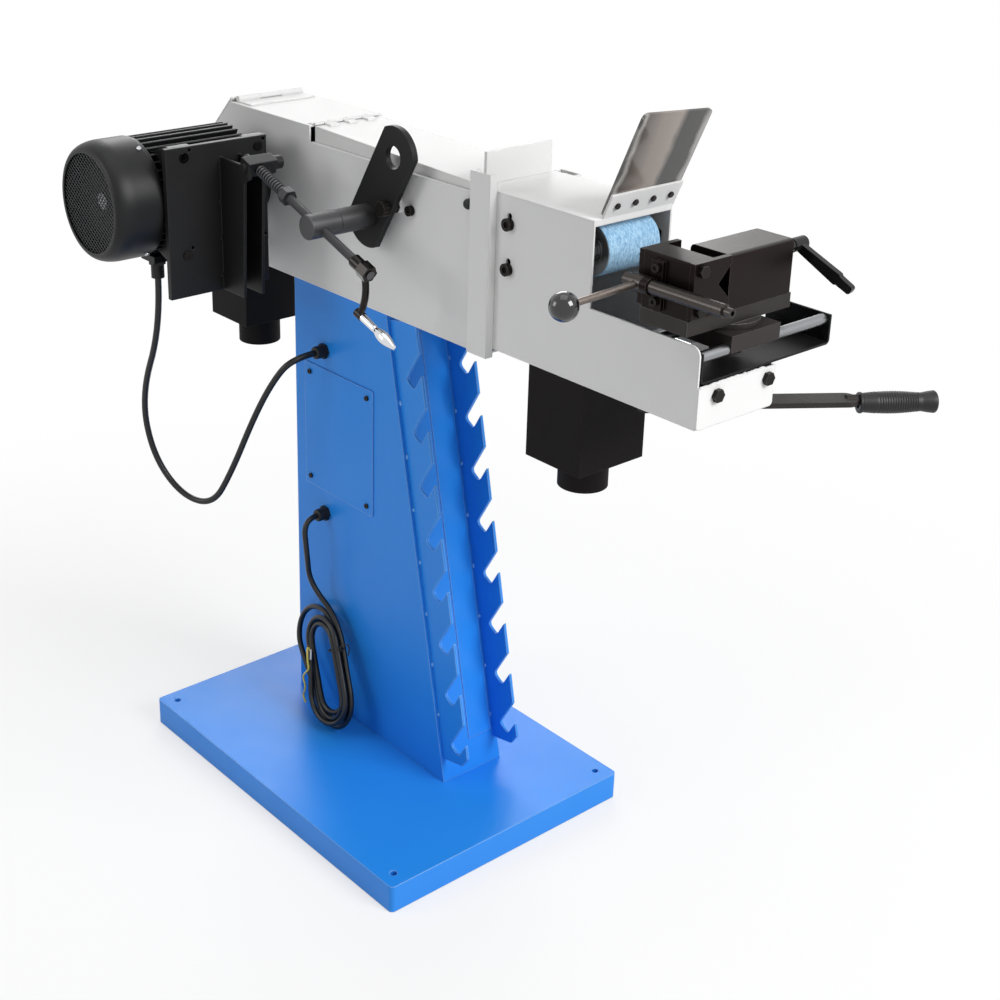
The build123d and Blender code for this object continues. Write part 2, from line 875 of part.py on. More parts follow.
def dust_box(x, roof, floor_z, spigot_reach):
    """Sheet box open above with a tube below."""
    with BuildPart() as box:
        with Locations((x, dust_y, (roof + floor_z) / 2)):
            Box(dust_length, dust_width, roof - floor_z)
        with Locations((x, dust_y, (roof + floor_z) / 2 + dust_sheet)):
            Box(dust_length - 2 * dust_sheet, dust_width - 2 * dust_sheet, roof - floor_z, mode=Mode.SUBTRACT)
        drum(Plane((x, dust_y, floor_z)), spigot_size, -spigot_reach)
        spigot_bore = spigot_size - 2 * dust_sheet
        drum(Plane((x, dust_y, floor_z + dust_sheet)), spigot_bore, -2 * spigot_reach, Mode.SUBTRACT)
    return box


dust_box_front = dust_box(dust_front_x, front_floor, dust_front_floor, spigot_front_reach)
keep(dust_box_front, "dust_box_front")
dust_box_rear = dust_box(dust_rear_x, arm_floor, dust_rear_floor, spigot_rear_reach)
keep(dust_box_rear, "dust_box_rear")

# Fork of two arms that carries the contact roller axle
with BuildPart() as roller_fork:
    fork_low = knob_low - fork_width / 4
    for fork_y in (fork_near, fork_far):
        with BuildSketch(side(fork_y)):
            with BuildLine():
                Polyline(
                    (fork_rear, fork_low),
                    (knob_x + fork_width / 3, fork_low),
                    (contact_x, contact_z - axle_size),
                    (contact_x + axle_size, contact_z - axle_size / 2),
                    (contact_x + axle_size, contact_z + axle_size / 2),
                    (contact_x, contact_z + axle_size),
                    (fork_rear, knob_high + fork_width / 4),
                    close=True,
                )
            make_face()
            with Locations((contact_x, contact_z)):
                Circle(axle_size / 2, mode=Mode.SUBTRACT)
            with Locations((knob_x, knob_high), (knob_x, knob_low)):
                Circle(knob_thread / 2, mode=Mode.SUBTRACT)
        extrude(amount=-fork_sheet)
keep(roller_fork, "roller_fork")

# Fixed axle with its two spacer collars
axle_low = fork_near
axle_length = fork_far + fork_sheet - fork_near
with BuildPart() as roller_axle:
    drum(Plane((contact_x, axle_low, contact_z), z_dir=(0, 1, 0)), axle_size, axle_length)
    collar_length = belt_near - fork_near - fork_sheet - run_gap
    drum(Plane((contact_x, fork_near + fork_sheet, contact_z), z_dir=(0, 1, 0)), collar_size, collar_length)
    drum(Plane((contact_x, fork_far, contact_z), z_dir=(0, -1, 0)), collar_size, collar_length)
keep(roller_axle, "roller_axle")

# Contact roller with a bearing in each end
with BuildPart() as contact_roller:
    roller_seat = Plane((contact_x, belt_near, contact_z), z_dir=(0, 1, 0))
    drum(roller_seat, contact_size, belt_width)
    drum(roller_seat, axle_size + 8, belt_width, Mode.SUBTRACT)
    drum(roller_seat, bearing_size, bearing_width, Mode.SUBTRACT)
    drum(roller_seat.offset(belt_width), bearing_size, -bearing_width, Mode.SUBTRACT)
keep(contact_roller, "contact_roller")

with BuildPart() as roller_bearings:
    drum(roller_seat, bearing_size, bearing_width)
    drum(roller_seat.offset(belt_width), bearing_size, -bearing_width)
    drum(roller_seat, axle_size + 2 * bore_gap, belt_width, Mode.SUBTRACT)
keep(roller_bearings, "roller_bearings")

# Abrasive belt, a closed band round both rollers
with BuildPart() as abrasive_belt:
    for wrap, mode in ((belt_play + belt_sheet, Mode.ADD), (belt_play, Mode.SUBTRACT)):
        with BuildSketch(side(belt_near)):
            with Locations((contact_x, contact_z)):
                Circle(contact_size / 2 + wrap)
            with Locations((drive_x, drive_z)):
                Circle(drive_size / 2 + wrap)
            make_hull()
        extrude(amount=-belt_width, mode=mode)
keep(abrasive_belt, "abrasive_belt")

# Drive roller, a rim on a web with a hub that sits on the motor shaft
hub_near = motor_face + 14
hub_far = motor_face + shaft_reach
with BuildPart() as drive_roller:
    rim_seat = Plane((drive_x, belt_near, drive_z), z_dir=(0, 1, 0))
    drum(rim_seat, drive_size, belt_width)
    drum(rim_seat, drive_size - 18, belt_width, Mode.SUBTRACT)
    drum(rim_seat.offset(12), drive_size - 10, 12)
    hub_seat = Plane((drive_x, hub_near, drive_z), z_dir=(0, 1, 0))
    drum(hub_seat, shaft_size * 2, hub_far - hub_near)
    drum(hub_seat, shaft_size, belt_width, Mode.SUBTRACT)
keep(drive_roller, "drive_roller")

# Motor shaft with its rotor core
shaft_rear = frame_near - shield_width - cowl_length / 2
with BuildPart() as motor_rotor:
    drum(Plane((drive_x, shaft_rear, drive_z), z_dir=(0, 1, 0)), shaft_size, hub_far - shaft_rear)
    drum(Plane((drive_x, frame_near + 30, drive_z), z_dir=(0, 1, 0)), rotor_size, frame_length - 60)
keep(motor_rotor, "motor_rotor")

# Cooling fan on the rear end of the shaft
with BuildPart() as cooling_fan:
    fan_seat = Plane((drive_x, shaft_rear, drive_z), z_dir=(0, 1, 0))
    drum(fan_seat, shaft_size * 1.8, 30)
    with BuildSketch(fan_seat):
        with PolarLocations(cowl_size * 0.22, 8):
            Rectangle(cowl_size * 0.4, 3)
        Circle(cowl_size * 0.42, mode=Mode.INTERSECT)
    extrude(amount=26)
    drum(fan_seat, cowl_size * 0.84, 2.5)
    drum(fan_seat, shaft_size, 40, Mode.SUBTRACT)
keep(cooling_fan, "cooling_fan")

# Motor frame with fins and feet
with BuildPart() as motor_body:
    with BuildSketch(side(frame_near)):
        with Locations((drive_x, drive_z)):
            Circle(motor_core)
            with PolarLocations((motor_core + motor_fin) / 2 - 2, fin_count):
                Rectangle(motor_fin - motor_core + 4, fin_sheet)
    extrude(amount=-frame_length)
    for foot_y in (foot_mid - motor_foot_pitch / 2, foot_mid + motor_foot_pitch / 2):
        for up in (-1, 1):
            foot_outline = [
                (drive_x + motor_core * 0.55, drive_z + up * motor_core * 0.62),
                (foot_plane, drive_z + up * (motor_foot_span / 2 - 24)),
                (foot_plane, drive_z + up * (motor_foot_span / 2 + 16)),
                (foot_plane - 13, drive_z + up * (motor_foot_span / 2 + 16)),
                (drive_x + motor_core * 0.3, drive_z + up * motor_core * 0.86),
            ]
            profile(foot_y - 19, 38, foot_outline)
            foot_hole = Plane((foot_plane, foot_y, drive_z + up * motor_foot_span / 2), z_dir=(-1, 0, 0))
            drum(foot_hole, motor_bolt, 40, Mode.SUBTRACT)
            drum(foot_hole.offset(13), motor_bolt * 2 + 6, 40, Mode.SUBTRACT)
    bore = Plane((drive_x, frame_near, drive_z), z_dir=(0, 1, 0))
    drum(bore, rotor_size + 2 * rotor_gap, frame_length, Mode.SUBTRACT)
    flat_z = drive_z - motor_core + 4
    block(
        (drive_x - box_width / 2, foot_mid - box_length / 2, drive_z - motor_fin - 5),
        (drive_x + box_width / 2, foot_mid + box_length / 2, flat_z),
        Mode.SUBTRACT,
    )
keep(motor_body, "motor_body")

# End shields with the shaft bearings in them
with BuildPart() as motor_end_shields:
    front_seat = Plane((drive_x, motor_face, drive_z), z_dir=(0, -1, 0))
    rear_seat = Plane((drive_x, frame_near, drive_z), z_dir=(0, -1, 0))
    drum(front_seat, nose_size - 30, nose_length)
    drum(front_seat.offset(6), nose_size, nose_length - 6)
    drum(rear_seat, cowl_size - 2 * cowl_sheet, shield_width)
    drum(front_seat, shaft_size + 2 * bore_gap, 2 * frame_length, Mode.SUBTRACT)
keep(motor_end_shields, "motor_end_shields")

# Fan cowl with a ringed grille
with BuildPart() as fan_cowl:
    cowl_seat = Plane((drive_x, frame_near - shield_width + 14, drive_z), x_dir=(1, 0, 0), z_dir=(0, -1, 0))
    shoulder = (cowl_size - cowl_face) / 2
    curve = (shoulder**2 + cowl_curve**2) / (2 * shoulder)
    half_turn = atan2(cowl_curve, curve - shoulder) / 2
    for wall, mode in ((0, Mode.ADD), (cowl_sheet, Mode.SUBTRACT)):
        bend = cowl_length - cowl_curve
        middle = cowl_size / 2 - curve
        bow = (middle + (curve - wall) * cos(half_turn), bend + (curve - wall) * sin(half_turn))
        rim = (middle + (curve - wall) * cos(2 * half_turn), bend + (curve - wall) * sin(2 * half_turn))
        with BuildSketch(Plane(cowl_seat.origin, x_dir=(1, 0, 0), z_dir=(0, 0, 1))):
            with BuildLine():
                Polyline((0, -rim[1]), (0, 0), (cowl_size / 2 - wall, 0), (cowl_size / 2 - wall, -bend))
                ThreePointArc((cowl_size / 2 - wall, -bend), (bow[0], -bow[1]), (rim[0], -rim[1]))
                Line((rim[0], -rim[1]), (0, -rim[1]))
            make_face()
        revolve(axis=Axis(cowl_seat.origin, (0, 1, 0)), mode=mode)
    with BuildSketch(cowl_seat.offset(cowl_length)):
        ring_step = cowl_face / 11
        for ring in range(4):
            Circle(cowl_face / 2 - 8 - ring_step * ring)
            Circle(cowl_face / 2 - 15 - ring_step * ring, mode=Mode.SUBTRACT)
        with PolarLocations(cowl_face / 4, 6):
            Rectangle(cowl_face / 2, 8, mode=Mode.SUBTRACT)
    extrude(amount=-cowl_sheet * 3, mode=Mode.SUBTRACT)
keep(fan_cowl, "fan_cowl")

# Terminal box under the motor with its gland
box_floor = drive_z - box_drop
gland_foot = box_floor - gland_reach - 8
motor_gland_y = foot_mid - box_length / 2 - 27
motor_gland_x = drive_x + 18
with BuildPart() as terminal_box:
    block(
        (drive_x - box_width / 2, foot_mid - box_length / 2, box_floor),
        (drive_x + box_width / 2, foot_mid + box_length / 2, flat_z),
    )
    block(
        (motor_gland_x - 24, motor_gland_y - 16, box_floor),
        (motor_gland_x + 18, foot_mid - box_length / 2, drive_z - motor_fin - 1),
    )
    gland_seat = Plane((motor_gland_x, motor_gland_y, box_floor), z_dir=(0, 0, -1))
    with BuildSketch(gland_seat):
        RegularPolygon(gland_size / 2, 6, major_radius=False)
    extrude(amount=gland_reach / 3)
    drum(gland_seat, gland_size - 2, box_floor - gland_foot)
keep(terminal_box, "terminal_box")

# Hinged motor plate with two ribs and the cross block that the tension screw pushes
with BuildPart() as motor_plate:
    block(
        (foot_plane, plate_near, plate_foot),
        (plate_face, plate_near + plate_width, plate_foot + plate_height),
    )
    rib_near = spindle_y - rib_gap / 2 - rib_sheet
    for rib_y in (rib_near, rib_near + rib_sheet + rib_gap):
        rib_outline = [
            (plate_face - 1, plate_foot),
            (plate_face + rib_reach, plate_foot),
            (block_mid.X - 3, block_mid.Z - block_size - 2),
            (block_mid.X + block_size / 2, block_mid.Z - block_size + 6),
            (block_mid.X + block_size / 2, block_mid.Z + 2),
            (plate_face - 1, block_mid.Z + 3),
        ]
        profile(rib_y, rib_sheet, rib_outline)
    push_seat = Plane(block_mid, x_dir=(0, 1, 0), z_dir=spindle_dir)
    with BuildSketch(push_seat.offset(-block_size / 2)):
        with Locations(((block_near + block_far) / 2 - spindle_y, 0)):
            Rectangle(block_far - block_near, block_size)
    extrude(amount=block_size)
    bore_mid = push_seat.from_local_coords((0, block_bore_lift, 0))
    bore_seat = Plane(bore_mid, x_dir=(0, 1, 0), z_dir=spindle_dir)
    drum(bore_seat.offset(-block_size), spindle_tail + 4, 2 * block_size, Mode.SUBTRACT)
    drum(push_seat.offset(-40 - block_size / 2), spindle_tail + 6, 40, Mode.SUBTRACT)
    drum(Plane((block_mid.X, block_near, block_mid.Z), z_dir=(0, -1, 0)), pin_nut / 2, 4)
    drum(Plane((block_mid.X, block_far, block_mid.Z), z_dir=(0, 1, 0)), pin_nut, pin_nut_length)
    for barrel_y in barrel_rows:
        barrel_seat = Plane((hinge_x, barrel_y, hinge_z), z_dir=(0, 1, 0))
        drum(barrel_seat, hinge_rod + 2 * hinge_wall, barrel_length)
        block((hinge_x, barrel_y, hinge_z - 9), (foot_plane + 1, barrel_y + barrel_length, hinge_z + 10))
    hinge_seat = Plane((hinge_x, plate_near, hinge_z), z_dir=(0, 1, 0))
    drum(hinge_seat, hinge_rod + 2 * bore_gap, plate_width, Mode.SUBTRACT)
    with BuildSketch(Plane.YZ.offset(foot_plane)):
        with Locations((foot_mid, drive_z)):
            with GridLocations(motor_foot_pitch, motor_foot_span, 2, 2):
                Circle(motor_bolt / 2)
                with Locations((spare_step, spare_step)):
                    Circle(spare_hole / 2)
    extrude(amount=plate_sheet, mode=Mode.SUBTRACT)
keep(motor_plate, "motor_plate")

with BuildPart() as motor_bolts:
    for step_y in (-0.5, 0.5):
        for step_z in (-0.5, 0.5):
            spot = (plate_face, foot_mid + step_y * motor_foot_pitch, drive_z + step_z * motor_foot_span)
            seat = Plane(spot, x_dir=(0, 1, 0), z_dir=(1, 0, 0))
            cap_screw(seat, motor_bolt_head, motor_bolt_rise, motor_bolt, plate_sheet + 13)
            nut = Plane((foot_plane - 13, spot[1], spot[2]), x_dir=(0, 1, 0), z_dir=(-1, 0, 0))
            hex_bolt(nut, 19, 10, motor_bolt, 1)
keep(motor_bolts, "motor_bolts")

# Rod in the bracket's lugs that the motor plate swings on
with BuildPart() as swing_rod:
    rod_seat = Plane((hinge_x, barrel_rows[0] - 4, hinge_z), z_dir=(0, 1, 0))
    drum(rod_seat, hinge_rod, barrel_rows[1] + barrel_length + 8 - barrel_rows[0])
    fillet(swing_rod.edges().filter_by(GeomType.CIRCLE), 2)
keep(swing_rod, "swing_rod")

# Round bar on the housing side and the threaded trunnion on its end
with BuildPart() as tension_bar:
    bar_seat = Plane((bar_x, rear_near, bar_z), z_dir=(0, -1, 0))
    drum(bar_seat, bar_size, bar_reach)
    drum(bar_seat.offset(bar_reach), bar_size / 2, trunnion_length / 4)
keep(tension_bar, "tension_bar")

with BuildPart() as tension_trunnion:
    trunnion_seat = bar_seat.offset(bar_reach + 1)
    drum(trunnion_seat, bar_size, trunnion_length)
    drum(trunnion_seat, bar_size / 2, trunnion_length / 4 - 1, Mode.SUBTRACT)
    thread_seat = Plane(spindle_mid - spindle_dir * bar_size, z_dir=spindle_dir)
    drum(thread_seat, spindle_size + 2 * run_gap, 2 * bar_size, Mode.SUBTRACT)
    fillet(tension_trunnion.faces().sort_by(Axis.Y)[0].edges(), 2)
keep(tension_trunnion, "tension_trunnion")

# Tension screw with its hex collar
with BuildPart() as tension_spindle:
    tail_seat = Plane(block_mid - spindle_dir * (block_size / 2 + 14), x_dir=(0, 1, 0), z_dir=spindle_dir)
    tail_length = block_offset + block_size / 2 + 14 - collar_offset
    drum(tail_seat, spindle_tail, tail_length)
    collar_seat = tail_seat.offset(tail_length)
    with BuildSketch(collar_seat):
        RegularPolygon(collar_flats / 2, 6, major_radius=False)
    extrude(amount=collar_width)
    drum(collar_seat, spindle_size, collar_offset + crank_offset + crank_hub + 2)
keep(tension_spindle, "tension_spindle")

# Wound spring between the block and the collar, one wire on arcs
spring_mean = (spring_size - spring_wire) / 2
spring_low = block_size / 2 + 0.8 + spring_wire / 2
spring_span = block_offset - collar_offset - spring_low - spring_wire / 2
spring_frame = Plane(block_mid + spindle_dir * spring_low, x_dir=(0, 1, 0), z_dir=spindle_dir)


def helix_point(turn, mean, span, turns):
    """Point and unit tangent on a helix at a number of turns."""
    angle = 2 * pi * turn
    slope = span / turns / (2 * pi)
    across = spring_frame.x_dir * cos(angle) + spring_frame.y_dir * sin(angle)
    around = spring_frame.y_dir * cos(angle) - spring_frame.x_dir * sin(angle)
    point = spring_frame.origin + across * mean + spring_frame.z_dir * (span * turn / turns)
    return point, (around * mean + spring_frame.z_dir * slope).normalized()


def biarc_joint(p0, t0, p1, t1):
    """Point where two arcs that leave p0 along t0 and reach p1 along t1 meet."""
    v = p1 - p0
    t = t0 + t1
    spread = 2 * (1 - t0.dot(t1))
    reach = (-v.dot(t) + sqrt(v.dot(t) ** 2 + spread * v.dot(v))) / spread
    return (p0 + p1 + (t0 - t1) * reach) * 0.5


with BuildPart() as tension_spring:
    with BuildLine() as spring_path:
        for quarter in range(4 * spring_curls):
            p0, t0 = helix_point(quarter / 4, spring_mean, spring_span, spring_curls)
            p1, t1 = helix_point((quarter + 1) / 4, spring_mean, spring_span, spring_curls)
            mid_point = biarc_joint(p0, t0, p1, t1)
            first_arc = TangentArc(p0, mid_point, tangent=t0)
            TangentArc(mid_point, p1, tangent=first_arc % 1)
    with BuildSketch(spring_path.line ^ 0):
        Circle(spring_wire / 2)
    sweep(path=spring_path.line)
keep(tension_spring, "tension_spring")

# Crank arm, a bent round bar between the clamped hub and the handle's boss
crank_mid = crank_seat + spindle_dir * (crank_hub * 0.6)
crank_down = Vector(-sin(radians(spindle_drop)), 0, -cos(radians(spindle_drop)))
crank_end = crank_mid + crank_down * crank_reach + spindle_dir * crank_bow
boss_seat = Plane(crank_end - spindle_dir * (crank_boss / 2), z_dir=spindle_dir)
with BuildPart() as crank_arm:
    with BuildLine() as crank_path:
        Spline(
            crank_mid,
            crank_mid + crank_down * (crank_reach * 0.42) + spindle_dir * crank_bow,
            crank_end,
        )
    with BuildSketch(crank_path.line ^ 0):
        Circle(crank_size / 2)
    sweep(path=crank_path.line)
    hub_plane = Plane(crank_seat, x_dir=(0, 1, 0), z_dir=spindle_dir)
    drum(hub_plane, crank_flats - 3, crank_sleeve)
    with BuildSketch(hub_plane.offset(crank_sleeve)):
        RegularPolygon(crank_flats / 2, 6, major_radius=False)
    extrude(amount=crank_hub - crank_sleeve)
    drum(boss_seat, crank_boss + 1, crank_boss)
    drum(boss_seat, handle_pin, crank_boss + handle_length * 0.8)
    drum(Plane(crank_seat - spindle_dir * 5, z_dir=spindle_dir), spindle_size, crank_hub + 10, Mode.SUBTRACT)
keep(crank_arm, "crank_arm")

# Tapered handle that turns on the crank pin
with BuildPart() as crank_handle:
    handle_plane = Plane(crank_end + spindle_dir * (crank_boss / 2 + run_gap), z_dir=spindle_dir)
    with BuildSketch(Plane(handle_plane.origin, x_dir=(0, 1, 0), z_dir=Vector(0, 1, 0).cross(spindle_dir))):
        with BuildLine():
            Polyline(
                (handle_pin / 2 + bore_gap, 0),
                (handle_neck * 0.56, 0),
                (handle_neck * 0.5, handle_length * 0.38),
                (handle_neck * 0.42, handle_length * 0.42),
            )
            Spline(
                (handle_neck * 0.42, handle_length * 0.42),
                (handle_size * 0.42, handle_length * 0.54),
                (handle_size * 0.5, handle_length * 0.68),
                (handle_size * 0.38, handle_length * 0.85),
                (handle_size * 0.2, handle_length),
            )
            Polyline(
                (handle_size * 0.2, handle_length),
                (0, handle_length),
                (0, handle_length * 0.8 + 1),
                (handle_pin / 2 + bore_gap, handle_length * 0.8 + 1),
                (handle_pin / 2 + bore_gap, 0),
            )
        make_face()
    revolve(axis=Axis(handle_plane.origin, spindle_dir))
keep(crank_handle, "crank_handle")

# Lifting eye, a leaning plate on the bar, with a star nut and a stud to the housing
with BuildPart() as lifting_eye:
    with BuildSketch(eye_plane):
        half = eye_width / 2
        high = eye_hole_rise + sqrt(eye_crown**2 - half**2)
        low = -sqrt(eye_heel**2 - half**2)
        with BuildLine():
            ThreePointArc((-half, low), (0, -eye_heel), (half, low))
            Line((half, low), (half, high))
            ThreePointArc((half, high), (0, eye_hole_rise + eye_crown), (-half, high))
            Line((-half, high), (-half, low))
        make_face()
        Circle(bar_size / 2, mode=Mode.SUBTRACT)
        with Locations((0, eye_hole_rise)):
            Circle(eye_hole / 2, mode=Mode.SUBTRACT)
        with Locations((star_across, star_rise)):
            Circle(motor_bolt / 2, mode=Mode.SUBTRACT)
    extrude(amount=-eye_sheet)
keep(lifting_eye, "lifting_eye")

with BuildPart() as eye_stud:
    stud_seat = Plane(star_spot, x_dir=(1, 0, 0), z_dir=(0, -1, 0))
    with BuildSketch(stud_seat):
        Circle(star_size / 2)
        with PolarLocations(star_size / 2, 12):
            Circle(2, mode=Mode.SUBTRACT)
    extrude(amount=star_height)
    drum(stud_seat, motor_bolt, -eye_sheet - (rear_near - eye_y - eye_sheet) / 2)
    nut_seat = Plane((star_spot.X, eye_y + eye_sheet, star_spot.Z), x_dir=(1, 0, 0), z_dir=(0, 1, 0))
    hex_bolt(nut_seat, star_size - 8, (rear_near - eye_y - eye_sheet) / 2, motor_bolt, 1)
    wall_seat = Plane((wall_screw_x, rear_near, wall_screw_z), x_dir=(1, 0, 0), z_dir=(0, -1, 0))
    cap_screw(wall_seat, wall_screw_head, wall_screw_head / 2, motor_bolt, 0)
keep(eye_stud, "eye_stud")

# Hinges on the roof: the rear cover's and the belt lid's, fixed leaves with their pins
cover_axis_x = rear_end + rear_bevel + 13
cover_axis_z = rear_roof + 6
cover_knuckle = 10.0
lid_axis_x = lid_wall + lid_gap / 2
lid_axis_z = rear_roof + 1.5
lid_knuckle = 5.0
hinge_near = rear_near + 8
hinge_width = rear_width - 16


def knuckle_rows(count):
    """Start and length of each knuckle along the hinge, with a gap between neighbours."""
    step = hinge_width / count
    return [(hinge_near + i * step + seat_gap / 2, step - seat_gap) for i in range(count)]


with BuildPart() as roof_hinges:
    for row, (row_y, row_length) in enumerate(knuckle_rows(3)):
        if row % 2 == 0:
            drum(Plane((cover_axis_x, row_y, cover_axis_z), z_dir=(0, 1, 0)), cover_knuckle, row_length)
            block(
                (cover_axis_x, row_y, rear_roof),
                (cover_axis_x + cover_knuckle, row_y + row_length, rear_roof + 2.5),
            )
    leaf_x = cover_axis_x + cover_knuckle / 2 + 1
    block((leaf_x, hinge_near, rear_roof), (leaf_x + 35, hinge_near + hinge_width, rear_roof + 2.5))
    drum(Plane((cover_axis_x, hinge_near, cover_axis_z), z_dir=(0, 1, 0)), cover_knuckle / 2, hinge_width)
    for row, (row_y, row_length) in enumerate(knuckle_rows(7)):
        if row % 2 == 0:
            drum(Plane((lid_axis_x, row_y, lid_axis_z), z_dir=(0, 1, 0)), lid_knuckle, row_length)
            block((lid_wall - 14, row_y, rear_roof), (lid_axis_x, row_y + row_length, rear_roof + 1.2))
    drum(Plane((lid_axis_x, hinge_near, lid_axis_z), z_dir=(0, 1, 0)), lid_knuckle / 2, hinge_width)
keep(roof_hinges, "roof_hinges")

# Belt lid
lid_rear = lid_wall + lid_gap
with BuildPart() as belt_lid:
    lid_near = rear_near + lid_inset
    lid_width = rear_width - 2 * lid_inset
    lid_high = rear_roof - 1
    lid_low = lid_high - lid_drop
    rest_z = rail_z + seat_gap
    lid_outline = [(lid_rear, rest_z), (lid_front, rest_z), (lid_front, lid_low), (lid_rear, lid_high)]
    profile(lid_near, lid_width, lid_outline)
    lid_hollow = [
        (lid_rear - 1, rest_z - 1),
        (lid_front + 1, rest_z - 1),
        (lid_front + 1, lid_low - 2 * lid_sheet),
        (lid_front - lid_sheet, lid_low - 2 * lid_sheet),
        (lid_front - lid_sheet, lid_low - lid_sheet),
        (lid_rear - 1, lid_high - lid_sheet),
    ]
    profile(lid_near + lid_sheet, lid_width - 2 * lid_sheet, lid_hollow, Mode.SUBTRACT)
    for row, (row_y, row_length) in enumerate(knuckle_rows(7)):
        if row % 2 == 1:
            lid_seat = Plane((lid_axis_x, row_y, lid_axis_z), z_dir=(0, 1, 0))
            drum(lid_seat, lid_knuckle, row_length)
            leaf_low = lid_high - lid_sheet
            block((lid_axis_x + 1, row_y, leaf_low + 1), (lid_rear + 16, row_y + row_length, lid_axis_z))
            drum(lid_seat, lid_knuckle / 2 + 2 * run_gap, row_length, Mode.SUBTRACT)
keep(belt_lid, "belt_lid")

# Rear cover, a bent sheet over the bevel and the rear end
cover_gap = 0.5
with BuildPart() as rear_cover:
    skin = lid_sheet
    bevel_out = (cover_gap + skin) * sqrt(2)
    bevel_in = cover_gap * sqrt(2)
    bevel_sum = rear_roof - rear_end - rear_bevel
    skin_high = cover_axis_z + 2.4
    skin_foot = arm_floor + 15
    skin_rear = rear_end - cover_gap - skin
    skin_outline = [
        (skin_high - bevel_sum - bevel_out, skin_high),
        (skin_rear, skin_rear + bevel_sum + bevel_out),
        (skin_rear, skin_foot),
        (skin_rear + skin, skin_foot),
        (skin_rear + skin, skin_rear + skin + bevel_sum + bevel_in),
        (skin_high - skin - bevel_sum - bevel_in, skin_high - skin),
    ]
    profile(rear_near, rear_width, skin_outline)
    row_y, row_length = knuckle_rows(3)[1]
    leaf_x = skin_high - bevel_sum - bevel_out - 1
    block((leaf_x, row_y, skin_high - skin), (cover_axis_x, row_y + row_length, skin_high))
    knuckle_seat = Plane((cover_axis_x, row_y, cover_axis_z), z_dir=(0, 1, 0))
    drum(knuckle_seat, cover_knuckle, row_length)
    drum(knuckle_seat, cover_knuckle / 2 + 2 * run_gap, row_length, Mode.SUBTRACT)
keep(rear_cover, "rear_cover")

# Guide rods along X for the feed tray
with BuildPart() as guide_rods:
    for guide_y in (guide_near_y, guide_far_y):
        drum(Plane((rod_wall, guide_y, guide_z), z_dir=(1, 0, 0)), guide_size, front_end - rod_wall)
keep(guide_rods, "guide_rods")

# Feed tray, a bent channel with guide blocks and the yoke of the feed lever below it
yoke_x = pivot_x + pin_half
with BuildPart() as feed_tray:
    with BuildSketch(Plane.YZ.offset(tray_rear)):
        with Locations(((tray_near + tray_far) / 2, tray_floor + tray_depth / 2)):
            Rectangle(tray_width, tray_depth)
            with Locations((0, tray_sheet)):
                Rectangle(tray_width - 2 * tray_sheet, tray_depth, mode=Mode.SUBTRACT)
    extrude(amount=tray_length)
    fillet(feed_tray.edges().filter_by(Axis.X).group_by(Axis.Z)[0], tray_round / 2)
    for guide_y in (guide_near_y, guide_far_y):
        low_z = guide_z - guide_block / 2
        block(
            (tray_front - guide_block_length, guide_y - guide_block / 2, low_z),
            (tray_front - 2, guide_y + guide_block / 2, tray_floor + 1),
        )
        guide_seat = Plane((tray_rear, guide_y, guide_z), z_dir=(1, 0, 0))
        drum(guide_seat, guide_size + 2 * bore_gap, tray_length, Mode.SUBTRACT)
    yoke_gap = feed_pin + 2
    yoke_low = front_floor + 4 * sheet
    for step in (-1, 1):
        cheek = yoke_x + step * (yoke_gap / 2 + 3)
        block((cheek - 3, pin_y - 13, yoke_low), (cheek + 3, pivot_y + feed_arm + 9, tray_floor + 1))
    for rod_x in (rod_rear_x, rod_front_x):
        drum(Plane((rod_x, tray_near, cross_z), z_dir=(0, 1, 0)), cross_rod / 2, tray_width, Mode.SUBTRACT)
keep(feed_tray, "feed_tray")

# Cross rods with their end screws
with BuildPart() as cross_rods:
    for rod_x in (rod_rear_x, rod_front_x):
        rod_seat = Plane((rod_x, tray_near, cross_z), z_dir=(0, 1, 0))
        drum(rod_seat.offset(tray_sheet), cross_rod, tray_width - 2 * tray_sheet)
        drum(rod_seat, cross_rod / 2, tray_width)
        far_end = Plane((rod_x, tray_far, cross_z), x_dir=(1, 0, 0), z_dir=(0, 1, 0))
        hex_bolt(far_end, 13, 6, cross_rod / 2, 1)
keep(cross_rods, "cross_rods")

# Cross slide block, grooved over the two rods, with the swivel stud
with BuildPart() as cross_block:
    block_floor = cross_z - cross_rod * 0.25
    block(
        (tray_x - block_length / 2, block_y - block_width / 2, block_floor),
        (tray_x + block_length / 2, block_y + block_width / 2, block_top),
    )
    for rod_x in (rod_rear_x, rod_front_x):
        groove = Plane((rod_x, block_y - block_width / 2, cross_z), z_dir=(0, 1, 0))
        drum(groove, cross_rod + 2 * bore_gap, block_width, Mode.SUBTRACT)
    keel_low = tray_floor + tray_sheet + 4
    block((tray_x - 16, block_y - 12, keel_low), (tray_x + 16, block_y + 18, block_floor + 1))
    drum(Plane((tray_x - 20, block_y + 3, block_floor - 14), z_dir=(1, 0, 0)), 9, 40, Mode.SUBTRACT)
    drum(Plane((tray_x, block_y, block_top - 1)), swivel_size / 4, swivel_sheet + vice_sheet - 3)
keep(cross_block, "cross_block")

# Vice base, a bar on a swivel disc
with BuildPart() as vice_base:
    drum(Plane((tray_x, block_y, block_top + seat_gap)), swivel_size, swivel_sheet)
    block(
        (tray_x - 8 - vice_width / 2, vice_near, vice_floor),
        (tray_x - 8 + vice_width / 2, vice_near + vice_length, vice_top),
    )
    swivel_seat = Plane((tray_x, block_y, block_top))
    drum(swivel_seat, swivel_size / 4 + 2 * run_gap, swivel_sheet + vice_sheet - 1, Mode.SUBTRACT)
keep(vice_base, "vice_base")

